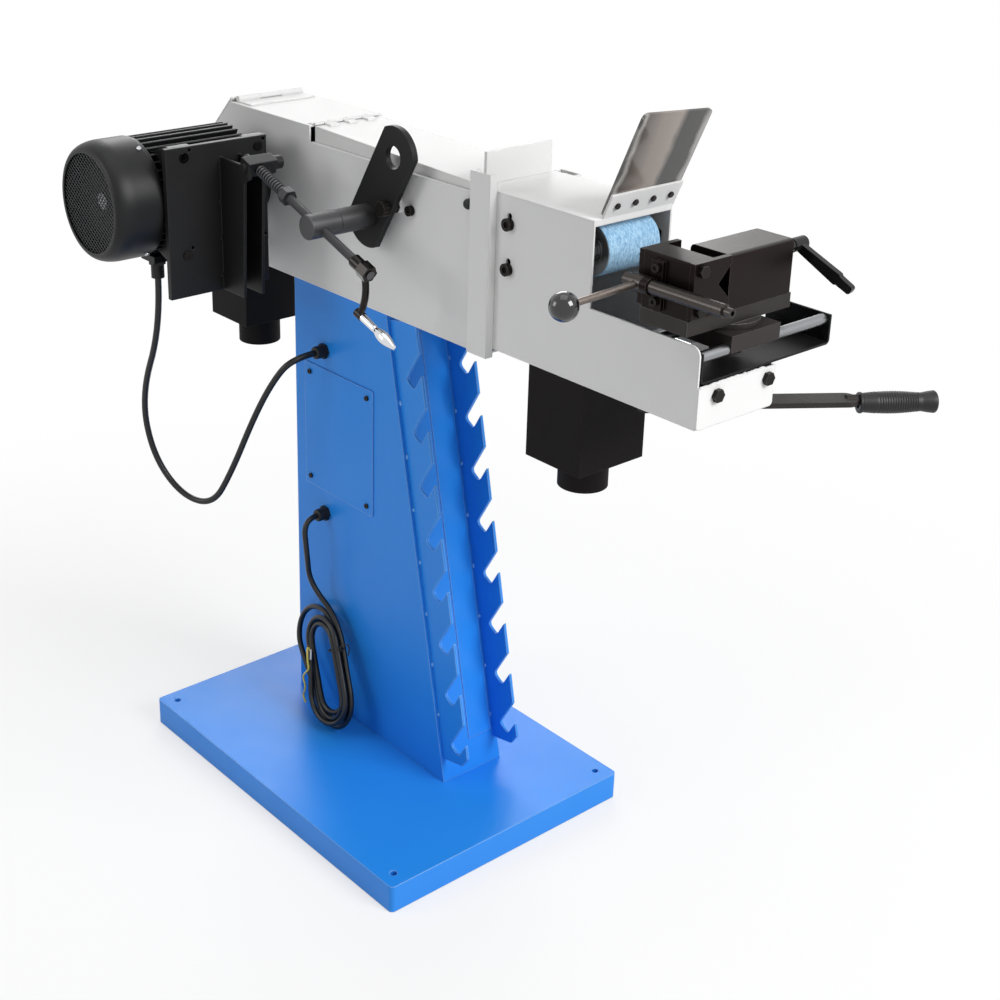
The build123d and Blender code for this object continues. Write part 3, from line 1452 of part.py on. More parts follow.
# V jaw block with its shaft boss
v_rear = tray_x - 8 - vice_width / 2 + 2
v_front = v_rear + vice_width - 4
cam_seat = Plane((cam_rear, cam_y, cam_z), x_dir=(0, 1, 0), z_dir=(1, 0, 0))
boss_low = cam_z - cam_boss_height / 2
boss_near = vice_near - cam_boss_sheet
boss_rear = cam_boss_x - cam_boss_width / 2
with BuildPart() as v_jaw:
    block((v_rear, vice_near, jaw_floor), (v_front, vice_near + v_block, jaw_floor + jaw_height))
    fillet(v_jaw.edges().filter_by(Axis.X).group_by(Axis.Z)[-1], 2)
    block(
        (boss_rear, boss_near, boss_low),
        (boss_rear + cam_boss_width, vice_near + 1, boss_low + cam_boss_height),
    )
    drum(Plane((boss_rear, cam_y, cam_z), z_dir=(1, 0, 0)), cam_ring, cam_ring_length)
    drum(cam_seat, cam_size + 2 * bore_gap, cam_length, Mode.SUBTRACT)
keep(v_jaw, "v_jaw")

# Front and rear V plates
with BuildPart() as v_plates:
    v_half = 24.0
    for plate_x in (v_rear - v_plate_sheet, v_front):
        with BuildSketch(Plane.YZ.offset(plate_x)):
            with BuildLine():
                Polyline(
                    (vice_near, jaw_floor + 3),
                    (vice_near + v_plate_reach, jaw_floor + 3),
                    (vice_near + v_plate_reach, v_apex_z - v_half),
                    (v_apex_y, v_apex_z),
                    (vice_near + v_plate_reach, v_apex_z + v_half),
                    (vice_near + v_plate_reach, jaw_floor + jaw_height),
                    (vice_near, jaw_floor + jaw_height),
                    close=True,
                )
            make_face()
        extrude(amount=v_plate_sheet)
keep(v_plates, "v_plates")

# Screws of the V plates and of the shaft boss
with BuildPart() as vice_screws:
    for step_z in (14, jaw_height - 11):
        screw_y = vice_near + 14
        screw_z = jaw_floor + step_z
        front_screw = Plane((v_front + v_plate_sheet, screw_y, screw_z), x_dir=(0, 1, 0), z_dir=(1, 0, 0))
        hex_bolt(front_screw, 15, 6, 8, 0)
        rear_screw = Plane((v_rear - v_plate_sheet, screw_y, screw_z), x_dir=(0, 1, 0), z_dir=(-1, 0, 0))
        hex_bolt(rear_screw, 15, 6, 8, 0)
    for step_z in (-22, 23):
        boss_screw = Plane((cam_boss_x, boss_near, cam_z + step_z), x_dir=(1, 0, 0), z_dir=(0, -1, 0))
        cap_screw(boss_screw, 12, 5, 8, 0)
keep(vice_screws, "vice_screws")

# Eccentric shaft with its lever hub and end cap screw
with BuildPart() as clamp_shaft:
    drum(cam_seat, cam_size, cam_length)
    cap_screw(cam_seat.offset(cam_length), 13, 12, 6, 1)
    hub_start = Plane((lever_x - lever_hub_length / 2, cam_y, cam_z), z_dir=(1, 0, 0))
    drum(hub_start, lever_hub, lever_hub_length)
    rod_seat = Plane((lever_x, cam_y, cam_z), x_dir=(1, 0, 0), z_dir=(0, -1, -0.04))
    drum(rod_seat, lever_rod, lever_reach)
keep(clamp_shaft, "clamp_shaft")

with BuildPart() as ball_knob:
    with Locations(rod_seat.offset(lever_reach).origin):
        Sphere(ball_size / 2)
    drum(rod_seat.offset(lever_reach - ball_size), lever_rod, ball_size, Mode.SUBTRACT)
keep(ball_knob, "ball_knob")

# Sliding jaw
jaw_front = tray_x - 8 + vice_width / 2 + 1
with BuildPart() as sliding_jaw:
    jaw_top = jaw_floor + jaw_height - 2
    block((jaw_front - jaw_width, jaw_y, jaw_floor), (jaw_front, jaw_y + jaw_length, jaw_top))
    fillet(sliding_jaw.edges().filter_by(Axis.Y).group_by(Axis.Z)[-1], 7)
    bolt_seat = Plane((lock_x, jaw_y + jaw_length, lock_z), z_dir=(0, -1, 0))
    drum(bolt_seat, motor_bolt + 2 * bore_gap, 60, Mode.SUBTRACT)
keep(sliding_jaw, "sliding_jaw")

# Lock lever on the end of the sliding jaw
with BuildPart() as lock_lever:
    lock_seat = Plane((lock_x, jaw_y + jaw_length + seat_gap, lock_z), x_dir=(1, 0, 0), z_dir=(0, 1, 0))
    drum(lock_seat, motor_bolt, -50)
    drum(lock_seat, motor_bolt + 6, lock_stub)
    drum(lock_seat.offset(lock_stub - 12), lock_hub, 26)
    lever_dir = Vector(cos(radians(lock_drop)), 0.14, -sin(radians(lock_drop))).normalized()
    lever_face = Vector(0, 1, 0).cross(lever_dir).cross(lever_dir) * -1
    arm_start = lock_seat.offset(lock_stub + 1).origin - lever_face.normalized() * (lock_sheet / 2)
    with BuildSketch(Plane(arm_start, x_dir=lever_dir, z_dir=lever_face)) as lever_sketch:
        with BuildLine():
            step = lock_reach * 0.74
            Polyline(
                (0, -lock_width * 0.34),
                (step, -lock_width / 2),
                (step + 3, -lock_width * 0.38),
                (lock_reach, -lock_width * 0.34),
                (lock_reach, lock_width * 0.34),
                (step + 3, lock_width * 0.38),
                (step, lock_width / 2),
                (0, lock_width * 0.34),
                close=True,
            )
        make_face()
        fillet(lever_sketch.vertices().sort_by(Axis.X)[-2:], lock_width / 4)
    extrude(amount=lock_sheet)
keep(lock_lever, "lock_lever")

# Feed lever, a flat bar under the front housing with the pin that moves the tray
lever_out = Vector(cos(radians(lever_angle)), sin(radians(lever_angle)), 0)
with BuildPart() as feed_lever:
    lever_plane = Plane((pivot_x, pivot_y, lever_top), x_dir=lever_out, z_dir=(0, 0, 1))
    with BuildSketch(lever_plane):
        with Locations((lever_bar / 2, 0)):
            SlotCenterToCenter(lever_bar, lever_width)
    extrude(amount=-lever_sheet)
    drum(Plane((yoke_x, pin_y, lever_top)), feed_pin, yoke_low + 22 - lever_top)
    grip_seat = Plane(lever_plane.from_local_coords((lever_bar, 0, -lever_sheet / 2)), z_dir=lever_out)
    drum(grip_seat, grip_core, grip_length + lever_width / 2 - 8)
    drum(Plane((pivot_x, pivot_y, lever_top)), pivot_size + 2 * bore_gap, -lever_sheet, Mode.SUBTRACT)
keep(feed_lever, "feed_lever")

with BuildPart() as lever_grip:
    grip_start = grip_seat.offset(lever_width / 2)
    waist = grip_size * 0.84
    drum(grip_start, grip_size, grip_flange)
    drum(grip_start, waist, grip_length - grip_bulb / 2)
    drum(grip_start.offset(grip_length), grip_size, -grip_bulb)
    fillet(lever_grip.faces().sort_by(Axis.Y)[-1].edges(), grip_size / 3)
    drum(grip_start, grip_core, grip_length - 8, Mode.SUBTRACT)
keep(lever_grip, "lever_grip")

# Motor cable from the terminal box down in a bow to the upper gland
cable_start = (motor_gland_x, motor_gland_y, gland_foot)
cable_end = (gland_x, column_near - gland_reach, gland_high)
cable_points = [
    cable_start,
    (motor_gland_x, motor_gland_y, gland_foot - 88),
    (-384, -230, 640),
    (-384, -214, 524),
    (-332, -191, 456),
    (-270, -164, 450),
    (-239, -142, 520),
    (-208, -113, 626),
    (-178, -93, 696),
    (gland_x, column_near - gland_reach - 47, gland_high),
    cable_end,
]
cable_radii = bend_radii(cable_points, 0.9, 0.9)
print("motor cable radii", [round(r) for r in cable_radii])
with BuildPart() as motor_cable:
    with BuildLine() as cable_path:
        FilletPolyline(*cable_points, radius=cable_radii)
    with BuildSketch(cable_path.line ^ 0):
        Circle(motor_cord / 2)
    sweep(path=cable_path.line)
keep(motor_cable, "motor_cable")

# Mains cord: a free stretch from the lower gland, then a coil leaning on the column
coil_half = 47.0
coil_step = 11.0
coil_down = Vector(0.40, -0.16, -0.90).normalized()
coil_right = Vector(0.914, 0, 0.406).normalized()
coil_out = coil_down.cross(coil_right)
coil_mid = Vector(-86, column_near - 41, base_height + 126)


def coil_point(across, along, layer):
    """Point of the coil from its place across, along and out of the coil's plane."""
    return coil_mid + coil_right * across + coil_down * along + coil_out * (layer * coil_step / 2)


strands = [(45, -1), (-89, -1), (34, -1), (-56, -1), (23, -1)]
strands += [(-34, 1), (34, 1), (-45, 1), (45, 1), (-56, 1)]
coil_top = -coil_half
join_point = coil_point(strands[0][0], coil_top, strands[0][1])
cord_end = (gland_x, column_near - gland_reach, gland_low)
cord_points = [
    cord_end,
    (gland_x, column_near - gland_reach - 30, gland_low),
    (-150, -58, 371),
    (-146, -42, 306),
    tuple(join_point - coil_down * 38),
    tuple(join_point),
]
cord_radii = bend_radii(cord_points, 0.9, 0.9)
print("mains cord radii", [round(r) for r in cord_radii])
with BuildPart() as mains_cord:
    with BuildLine() as cord_path:
        FilletPolyline(*cord_points, radius=cord_radii)
    with BuildSketch(cord_path.line ^ 0):
        Circle(mains_cord_size / 2)
    sweep(path=cord_path.line)
keep(mains_cord, "mains_cord")

with BuildPart() as mains_cord_coil:
    with BuildLine() as coil_path:
        tops = [coil_top] * 9 + [coil_top * 0.7]
        for i, (across, layer) in enumerate(strands):
            down_going = i % 2 == 0
            start_along = tops[i] if down_going else coil_half
            end_along = coil_half if down_going else tops[i]
            Line(coil_point(across, start_along, layer), coil_point(across, end_along, layer))
            if i + 1 < len(strands):
                next_across, next_layer = strands[i + 1]
                a = coil_point(across, end_along, layer)
                b = coil_point(next_across, end_along, next_layer)
                turn = (a - b).length / 2 * (1 if down_going else -1)
                ThreePointArc(a, (a + b) * 0.5 + coil_down * turn, b)
    with BuildSketch(coil_path.line ^ 0):
        Circle(mains_cord_size / 2)
    sweep(path=coil_path.line)
keep(mains_cord_coil, "mains_cord_coil")
coil_wire = coil_path.wires()[0]
samples = [coil_wire @ (i / 1200) for i in range(1201)]
apart = int(1200 * 60 / coil_wire.length)
least = min((samples[i] - samples[j]).length for i in range(1201) for j in range(i + apart, 1201))
print("coil length", round(coil_wire.length), "least gap", round(least - mains_cord_size, 2))
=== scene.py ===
# %% [markdown]
# # Tube belt grinder
# A belt grinder for fitting tube ends stands on a blue pedestal. A black motor drives an abrasive
# belt inside a white arm, and a black vice on a small cross slide offers the tube to the belt. The
# rigid pieces come from the construction model. This lesson gives them their finishes and makes the
# cords, the fan cowl, the spring, the grip and small trim anew, with the detail that a plain solid
# lacks.

# %% Load the construction model
import json
from math import cos, pi, radians, sin, sqrt
from random import Random

import bmesh
import bpy
from mathutils import Matrix, Vector


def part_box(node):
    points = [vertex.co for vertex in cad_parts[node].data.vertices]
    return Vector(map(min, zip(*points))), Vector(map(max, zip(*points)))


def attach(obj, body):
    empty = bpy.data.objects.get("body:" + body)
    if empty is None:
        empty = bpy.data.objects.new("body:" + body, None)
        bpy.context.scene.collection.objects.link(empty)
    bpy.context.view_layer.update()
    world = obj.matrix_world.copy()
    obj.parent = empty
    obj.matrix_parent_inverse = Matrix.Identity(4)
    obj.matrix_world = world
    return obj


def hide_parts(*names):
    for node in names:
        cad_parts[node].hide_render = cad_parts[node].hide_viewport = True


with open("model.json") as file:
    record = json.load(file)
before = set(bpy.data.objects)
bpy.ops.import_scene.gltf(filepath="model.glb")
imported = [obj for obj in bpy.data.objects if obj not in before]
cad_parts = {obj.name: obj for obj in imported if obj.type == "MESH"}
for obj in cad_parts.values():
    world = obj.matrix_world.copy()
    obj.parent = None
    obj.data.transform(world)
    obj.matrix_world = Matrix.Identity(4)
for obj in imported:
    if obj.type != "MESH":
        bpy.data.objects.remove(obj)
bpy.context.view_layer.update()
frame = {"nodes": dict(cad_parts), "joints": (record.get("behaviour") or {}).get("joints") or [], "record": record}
nodes = frame["nodes"]
joints = {joint["name"]: joint for joint in frame["joints"]}
MM = 0.001

# %% [markdown]
# ## Camera
# The view is a perspective from the front corner, a little above the arm. Fitting the long edges of
# the base, the column and the arm gave the place of the lens, its angles and the point of the
# picture that lies on its axis. That point is left of and above the middle, so the sensor is
# shifted instead of turning the camera.

# %% Camera at the fitted place
PICTURE = 1000
AXIS_PIXEL = (428, 404)
FOCAL_PICTURES = 1.644
SENSOR_MM = 36
LENS_PLACE = (1.984, -1.560, 1.707)
azimuth, elevation, roll = radians(50.04), radians(21.95), radians(0.87)
back = Vector((sin(azimuth) * cos(elevation), -cos(azimuth) * cos(elevation), sin(elevation)))
level = Vector((cos(azimuth), sin(azimuth), 0))
upright = back.cross(level)
right = level * cos(roll) + upright * sin(roll)
up = upright * cos(roll) - level * sin(roll)
lens = bpy.data.cameras.new("camera")
lens.sensor_width = SENSOR_MM
lens.lens = FOCAL_PICTURES * lens.sensor_width
lens.shift_x = 0.5 - AXIS_PIXEL[0] / PICTURE
lens.shift_y = AXIS_PIXEL[1] / PICTURE - 0.5
camera = bpy.data.objects.new("camera", lens)
camera.matrix_world = Matrix((right, up, back)).transposed().to_4x4()
camera.location = LENS_PLACE
bpy.context.scene.collection.objects.link(camera)
bpy.context.scene.camera = camera
bpy.context.scene.view_settings.view_transform = "Standard"
print("lens", round(lens.lens, 1), "mm, shift", round(lens.shift_x, 3), round(lens.shift_y, 3))

# %% [markdown]
# ## A way to write materials
# Every finish here is a small graph of nodes. One function adds a node, sets its fields and fills
# or links its sockets, and another starts a material. Colours are written as sRGB codes, the way a
# paint chart shows them, and are turned to linear values once. Patterns are written as real sizes
# in millimetres.

# %% Helpers for materials


def srgb(code):
    """Linear colour, alpha 1, from an sRGB hex code."""
    parts = [int(code[i : i + 2], 16) / 255 for i in (1, 3, 5)]
    linear = [part / 12.92 if part <= 0.04045 else ((part + 0.055) / 1.055) ** 2.4 for part in parts]
    return (*linear, 1.0)


def per_metre(size_mm):
    """Texture scale whose features are about size_mm across."""
    return 1000 / size_mm


def add(tree, kind, inputs=None, **settings):
    """Add one node, set its fields, then fill or link its sockets by name or number."""
    node = tree.nodes.new("ShaderNode" + kind)
    for field, value in settings.items():
        setattr(node, field, value)
    for socket, value in (inputs or {}).items():
        if isinstance(value, bpy.types.NodeSocket):
            tree.links.new(value, node.inputs[socket])
        else:
            node.inputs[socket].default_value = value
    return node


def start_material(name, constants):
    """Material with one Principled shader, its tree, its shader and its Object coordinates."""
    material = bpy.data.materials.new(name)
    material.use_nodes = True
    tree = material.node_tree
    tree.nodes.clear()
    shader = add(tree, "BsdfPrincipled", constants)
    add(tree, "OutputMaterial", {"Surface": shader.outputs["BSDF"]})
    return material, tree, shader, add(tree, "TexCoord").outputs["Object"]


def between(tree, factor, first, second):
    """Colour that goes from the first to the second as the factor goes from 0 to 1."""
    return add(tree, "Mix", {0: factor, 6: first, 7: second}, data_type="RGBA").outputs[2]


EDGE_STARTS, EDGE_FULL = 0.985, 0.80


def edge_share(tree, fold, most):
    """Factor that rises to a share where the Bevel node turns the normal away from the true one."""
    sides = {0: fold.outputs["Normal"], 1: add(tree, "NewGeometry").outputs["Normal"]}
    facing = add(tree, "VectorMath", sides, operation="DOT_PRODUCT")
    turned = {"Value": facing.outputs["Value"], 1: EDGE_STARTS, 2: EDGE_FULL, 3: 0.0, 4: most}
    return add(tree, "MapRange", turned).outputs["Result"]


# %% [markdown]
# ## Enamel on sheet steel
# The pedestal, the arm and the black covers are sprayed with enamel. Sprayed paint dries with
# orange peel, a faint ripple a few millimetres wide, and its gloss is uneven. Sharp folds catch the
# light, so a lighter line is painted along them as a highlight. The Bevel node rounds the shading of
# those folds without touching the mesh, and comparing its normal with the true one tells where an
# edge is. The white and the black coats are nearly matt, so their specular level is low.

# %% Enamel finishes
PEEL_MM = 2.4
PEEL_DEPTH = 0.1 * MM
FOLD_MM = 2.6
EDGE_HIGHLIGHT_SHARE = 0.75
DRIFT_MM = 170
PATCH_MM = 45
GLOSS_SPREAD = 0.07


def enamel(name, colour, shade, edge, gloss, peel, shine):
    """Sprayed paint: colour, its drift, a painted highlight along edges, roughness, orange peel and specular
    level.
    """
    material, tree, shader, place = start_material(name, {"IOR": 1.5, "Specular IOR Level": shine})
    drift = add(tree, "TexNoise", {"Vector": place, "Scale": per_metre(DRIFT_MM), "Detail": 3.0})
    fold = add(tree, "Bevel", {"Radius": FOLD_MM * MM}, samples=4)
    body = between(tree, drift.outputs["Fac"], srgb(colour), srgb(shade))
    # The edge colour is a painted highlight along the folds that the Bevel node finds.
    painted_highlight = edge_share(tree, fold, EDGE_HIGHLIGHT_SHARE)
    tree.links.new(between(tree, painted_highlight, body, srgb(edge)), shader.inputs["Base Color"])
    patches = add(tree, "TexNoise", {"Vector": place, "Scale": per_metre(PATCH_MM), "Detail": 5.0})
    glossy, dull = gloss - GLOSS_SPREAD, gloss + GLOSS_SPREAD
    uneven = add(tree, "MapRange", {"Value": patches.outputs["Fac"], 3: glossy, 4: dull})
    tree.links.new(uneven.outputs["Result"], shader.inputs["Roughness"])
    ripple = add(tree, "TexNoise", {"Vector": place, "Scale": per_metre(PEEL_MM), "Detail": 2.0})
    height = {"Height": ripple.outputs["Fac"], "Strength": peel, "Distance": PEEL_DEPTH}
    bump = add(tree, "Bump", {**height, "Normal": fold.outputs["Normal"]})
    tree.links.new(bump.outputs["Normal"], shader.inputs["Normal"])
    return material


# The third colour of each enamel is its painted highlight along edges.
blue_enamel = enamel("blue_enamel", "#2A8AE6", "#2283DF", "#B0D6FB", 0.34, 0.30, 0.24)
# The weld tacks take a paler, shinier blue: a painted highlight for the glints on the beads.
weld_highlight_blue = enamel("blue_enamel_with_painted_weld_highlight", "#6FB2F2", "#5CA4EA", "#A8D2FA", 0.30, 0.30, 0.60)
white_enamel = enamel("white_enamel", "#E0E0DF", "#DADADA", "#F2F2F2", 0.40, 0.25, 0.02)
black_enamel = enamel("black_enamel", "#0D0D0E", "#121213", "#2B2C2E", 0.45, 0.55, 0.18)
motor_enamel = enamel("motor_enamel", "#0E0F10", "#131315", "#2E3032", 0.42, 0.80, 0.26)
plate_enamel = enamel("motor_plate_enamel", "#131314", "#19191A", "#38393B", 0.46, 0.55, 0.22)
grille_enamel = enamel("grille_enamel", "#333436", "#3A3B3D", "#4A4B4D", 0.50, 0.30, 0.30)
matt_black = enamel("matt_black_enamel", "#141212", "#191616", "#2F2B2A", 0.62, 0.60, 0.08)
print("enamels made, orange peel", PEEL_MM, "mm")

# %% [markdown]
# ## Metals
# The vice, the bolts and the tension screw are blackened steel: a machined surface in a dark oxide
# that still reflects like metal, a little brown on the vice. The slide rods are ground steel, the
# crank has a black chromed arm and a bright handle, and the rollers are turned aluminium. Each is a
# metal with its own colour and roughness, and the marks of its tool are stretched noise, fine along
# one way and coarse along the other. They are drawn about a millimetre wide, coarser than they are,
# so that they show. The edges are drawn lighter, and on the vice the faces that look up carry a
# painted sheen: a lighter colour that stands in for the light above reflected on them.

# %% Worked metal
METAL_SHINE = 0.15
MARK_DEPTH = 0.05 * MM
SMOOTHEST_MARK, ROUGHEST_MARK = 0.75, 1.3
CLOUD_MM = 38
LIGHTENED_MM = 0.9
LIGHTENED_SHARE = 0.7
SHEEN_STARTS, SHEEN_FULL = 0.6, 0.95
BARE_FROM_MM, BARE_FULL_MM = -48, -50


def worked_metal(
    name, colour, shade, rough, grain_mm, stretch, depth, metallic=1.0, lightened=None, top=None, bare=None
):
    """Metal with stretched tool marks. Colours may be given for lighter edges, a painted sheen on the top, a bare
    end.
    """
    fixed = {"Metallic": metallic, "Specular IOR Level": METAL_SHINE}
    material, tree, shader, place = start_material(name, fixed)
    drawn = add(tree, "Mapping", {"Vector": place, "Scale": stretch}).outputs["Vector"]
    grain = add(tree, "TexNoise", {"Vector": drawn, "Scale": per_metre(grain_mm), "Detail": 4.0})
    cloud = add(tree, "TexNoise", {"Vector": place, "Scale": per_metre(CLOUD_MM), "Detail": 4.0})
    fold = add(tree, "Bevel", {"Radius": LIGHTENED_MM * MM}, samples=4)
    body = between(tree, cloud.outputs["Fac"], srgb(colour), srgb(shade))
    # A lighter colour on the faces that look up is a painted sheen, the light above reflected on them.
    if top:
        upward = add(tree, "SeparateXYZ", {0: add(tree, "NewGeometry").outputs["Normal"]}).outputs["Z"]
        painted_sheen = add(tree, "MapRange", {"Value": upward, 1: SHEEN_STARTS, 2: SHEEN_FULL})
        body = between(tree, painted_sheen.outputs["Result"], body, srgb(top))
    if bare:
        near = add(tree, "SeparateXYZ", {0: place}).outputs["Y"]
        past = add(tree, "MapRange", {"Value": near, 1: BARE_FROM_MM * MM, 2: BARE_FULL_MM * MM})
        body = between(tree, past.outputs["Result"], body, srgb(bare))
    # The edges are drawn in a lighter colour.
    if lightened:
        body = between(tree, edge_share(tree, fold, LIGHTENED_SHARE), body, srgb(lightened))
    tree.links.new(body, shader.inputs["Base Color"])
    smoothest, roughest = rough * SMOOTHEST_MARK, rough * ROUGHEST_MARK
    marks = add(tree, "MapRange", {"Value": grain.outputs["Fac"], 3: smoothest, 4: roughest})
    tree.links.new(marks.outputs["Result"], shader.inputs["Roughness"])
    height = {"Height": grain.outputs["Fac"], "Strength": depth, "Distance": MARK_DEPTH}
    bump = add(tree, "Bump", {**height, "Normal": fold.outputs["Normal"]})
    tree.links.new(bump.outputs["Normal"], shader.inputs["Normal"])
    return material


print("worked metal, edges rubbed", LIGHTENED_MM, "mm wide")

# %% Metals of the machine
EVEN = (1, 1, 1)
ALONG_X = (0.15, 1, 1)
ALONG_SHAFT = (1, 0.1, 1)
ALONG_RODS = (1, 0.06, 1)
ROUND_ROLLERS = (0.1, 1, 0.1)
black_oxide = worked_metal(
    "black_oxide_steel", "#2A2625", "#221F1E", 0.38, 1.2, EVEN, 0.25, 0.7, "#6A6460"
)
grey_oxide = worked_metal("grey_oxide_steel", "#565657", "#48484A", 0.45, 1.2, EVEN, 0.25, 0.8, "#8E8E90")
vice_oxide = worked_metal(
    "machined_oxide_steel", "#1E1614", "#171210", 0.33, 1.6, ALONG_X, 0.35, 0.6, "#5C534F"
)
# The last colour of the jaw and of the swivel is their painted top sheen.
jaw_oxide = worked_metal(
    "oxide_steel_with_painted_top_sheen", "#1E1614", "#171210", 0.33, 1.6, ALONG_X, 0.35, 0.6, "#8A827C", "#4C4A48"
)
swivel_oxide = worked_metal(
    "swivel_oxide_steel", "#3A3735", "#302D2B", 0.38, 1.6, EVEN, 0.30, 0.6, "#98928D", "#565351"
)
lever_oxide = worked_metal(
    "lever_oxide_steel", "#3A3735", "#2F2C2B", 0.55, 1.4, ALONG_X, 0.40, 0.3, "#66625F"
)
block_oxide = worked_metal(
    "block_oxide_steel", "#3B3635", "#332F2E", 0.42, 1.4, EVEN, 0.40, 0.4, "#6A6460"
)
shaft_oxide = worked_metal(
    "shaft_oxide_steel", "#4A4644", "#3C3937", 0.28, 1.0, ALONG_SHAFT, 0.15, 0.9, bare="#7C736D"
)
ground_steel = worked_metal("ground_steel", "#C6C8CA", "#B4B6B9", 0.24, 0.8, ALONG_RODS, 0.15)
rod_steel = worked_metal("slide_rod_steel", "#9A9C9E", "#8B8D90", 0.30, 0.8, ALONG_RODS, 0.15)
chrome_plate = worked_metal("chrome_plate", "#DFE0E2", "#D2D3D6", 0.09, 3.0, EVEN, 0.03)
dark_chrome = worked_metal("smoked_chrome_plate", "#6A6A6C", "#59595B", 0.18, 3.0, EVEN, 0.05)
black_chrome = worked_metal("black_chrome_plate", "#2E2C2B", "#272524", 0.15, 3.0, EVEN, 0.05)
turned_aluminium = worked_metal("turned_aluminium", "#C2C4C6", "#B2B4B6", 0.30, 0.9, ROUND_ROLLERS, 0.3)
zinc_plate = worked_metal("zinc_plate", "#C9CACB", "#B3B5B9", 0.28, 1.0, EVEN, 0.1)
print("metals made, from blackened steel to zinc")

# %% Threaded screw
THREAD_MM = 3.0
THREAD_DEPTH = 0.8 * MM


def threaded_steel():
    """Blackened screw whose thread is a wave along its axis, drawn a little coarser than it is, with crests
    painted lighter as a highlight and roots darker as shade.
    """
    fixed = {"Metallic": 0.5, "Roughness": 0.45, "Specular IOR Level": 0.3}
    material, tree, shader, place = start_material("threaded_oxide_steel", fixed)
    axis = Vector(joints["crank_turn"]["axis"])
    along = add(tree, "VectorMath", {0: place, 1: axis}, operation="DOT_PRODUCT").outputs["Value"]
    turns = add(tree, "Math", {0: along, 1: 2 * pi * per_metre(THREAD_MM)}, operation="MULTIPLY")
    wave = add(tree, "Math", {0: turns.outputs["Value"]}, operation="SINE").outputs["Value"]
    crest = add(tree, "MapRange", {"Value": wave, 1: -1.0, 2: 1.0}).outputs["Result"]
    # Painted highlight on the crests and painted shade in the roots of the thread.
    tree.links.new(between(tree, crest, srgb("#222223"), srgb("#555557")), shader.inputs["Base Color"])
    bump = add(tree, "Bump", {"Height": crest, "Strength": 0.7, "Distance": THREAD_DEPTH})
    tree.links.new(bump.outputs["Normal"], shader.inputs["Normal"])
    return material


thread_oxide = threaded_steel()
print("thread drawn every", THREAD_MM, "mm")

# %% [markdown]
# ## Abrasive belt
# The belt is cloth coated with blue grit. The grit stands up in a crackle a few millimetres long
# along the belt, with pale crests and darker valleys, so one noise drives both the colour and the
# bump. The crackle is drawn a little coarser than the grit is, so that it shows at the size of the
# picture.

# %% Abrasive belt finish
GRIT_MM = 1.1
GRIT_DEPTH = 0.4 * MM
CRACKLE_MM = 2.2
ALONG_BELT = (0.3, 1.0, 0.3)
VALLEY, CREST = 0.36, 0.60
SPECKLE_SHARE = 0.25


def coated_abrasive():
    """Blue grit on cloth, with a crackle whose lines run along the belt."""
    material, tree, shader, place = start_material("coated_abrasive", {"Roughness": 0.85})
    along = add(tree, "Mapping", {"Vector": place, "Scale": ALONG_BELT})
    crackle = {"Vector": along.outputs["Vector"], "Scale": per_metre(CRACKLE_MM)}
    waves = add(tree, "TexNoise", {**crackle, "Detail": 3.0, "Distortion": 1.2})
    crest = add(tree, "MapRange", {"Value": waves.outputs["Fac"], 1: VALLEY, 2: CREST})
    grit = add(tree, "TexNoise", {"Vector": place, "Scale": per_metre(GRIT_MM), "Detail": 2.0})
    body = between(tree, crest.outputs["Result"], srgb("#6E9FC8"), srgb("#AFD4ED"))
    grains = {"Value": grit.outputs["Fac"], 1: 0.35, 2: 0.65, 3: 0.0, 4: SPECKLE_SHARE}
    speckle = add(tree, "MapRange", grains)
    speckled = between(tree, speckle.outputs["Result"], body, srgb("#95C2E1"))
    tree.links.new(speckled, shader.inputs["Base Color"])
    relief = add(tree, "Math", {0: crest.outputs["Result"], 1: grit.outputs["Fac"]}, operation="ADD")
    bump = add(tree, "Bump", {"Height": relief.outputs["Value"], "Strength": 0.8, "Distance": GRIT_DEPTH})
    tree.links.new(bump.outputs["Normal"], shader.inputs["Normal"])
    return material


belt_grit = coated_abrasive()
print("belt grit", GRIT_MM, "mm in a crackle of", CRACKLE_MM, "mm")

# %% [markdown]
# ## Plastics and rubber
# The glands and the terminal box are moulded in black plastic with the fine matt grain of the tool,
# and the grip is moulded in rubber. The ball knob is a hard moulded resin, polished, and the cords
# have a PVC sheath, smoother than rubber. The buttons on the far side of the column are glossy. The
# grain is drawn about a millimetre wide, coarser than it is, so that it shows.

# %% Plastic finishes
MOULD_DRIFT_MM = 30
GRAIN_DEPTH = 0.08 * MM
SMOOTHEST_PATCH, ROUGHEST_PATCH = 0.85, 1.15


def moulded(name, colour, shade, rough, grain_mm, depth, shine=0.5, coat=0.0):
    """Moulded plastic with a grain of the given size and a slow drift of colour."""
    fixed = {"IOR": 1.49, "Specular IOR Level": shine, "Coat Weight": coat}
    material, tree, shader, place = start_material(name, fixed)
    drift = add(tree, "TexNoise", {"Vector": place, "Scale": per_metre(MOULD_DRIFT_MM), "Detail": 3.0})
    body = between(tree, drift.outputs["Fac"], srgb(colour), srgb(shade))
    tree.links.new(body, shader.inputs["Base Color"])
    smoothest, roughest = rough * SMOOTHEST_PATCH, rough * ROUGHEST_PATCH
    uneven = add(tree, "MapRange", {"Value": drift.outputs["Fac"], 3: smoothest, 4: roughest})
    tree.links.new(uneven.outputs["Result"], shader.inputs["Roughness"])
    grain = add(tree, "TexNoise", {"Vector": place, "Scale": per_metre(grain_mm), "Detail": 2.0})
    bump = add(tree, "Bump", {"Height": grain.outputs["Fac"], "Strength": depth, "Distance": GRAIN_DEPTH})
    tree.links.new(bump.outputs["Normal"], shader.inputs["Normal"])
    return material


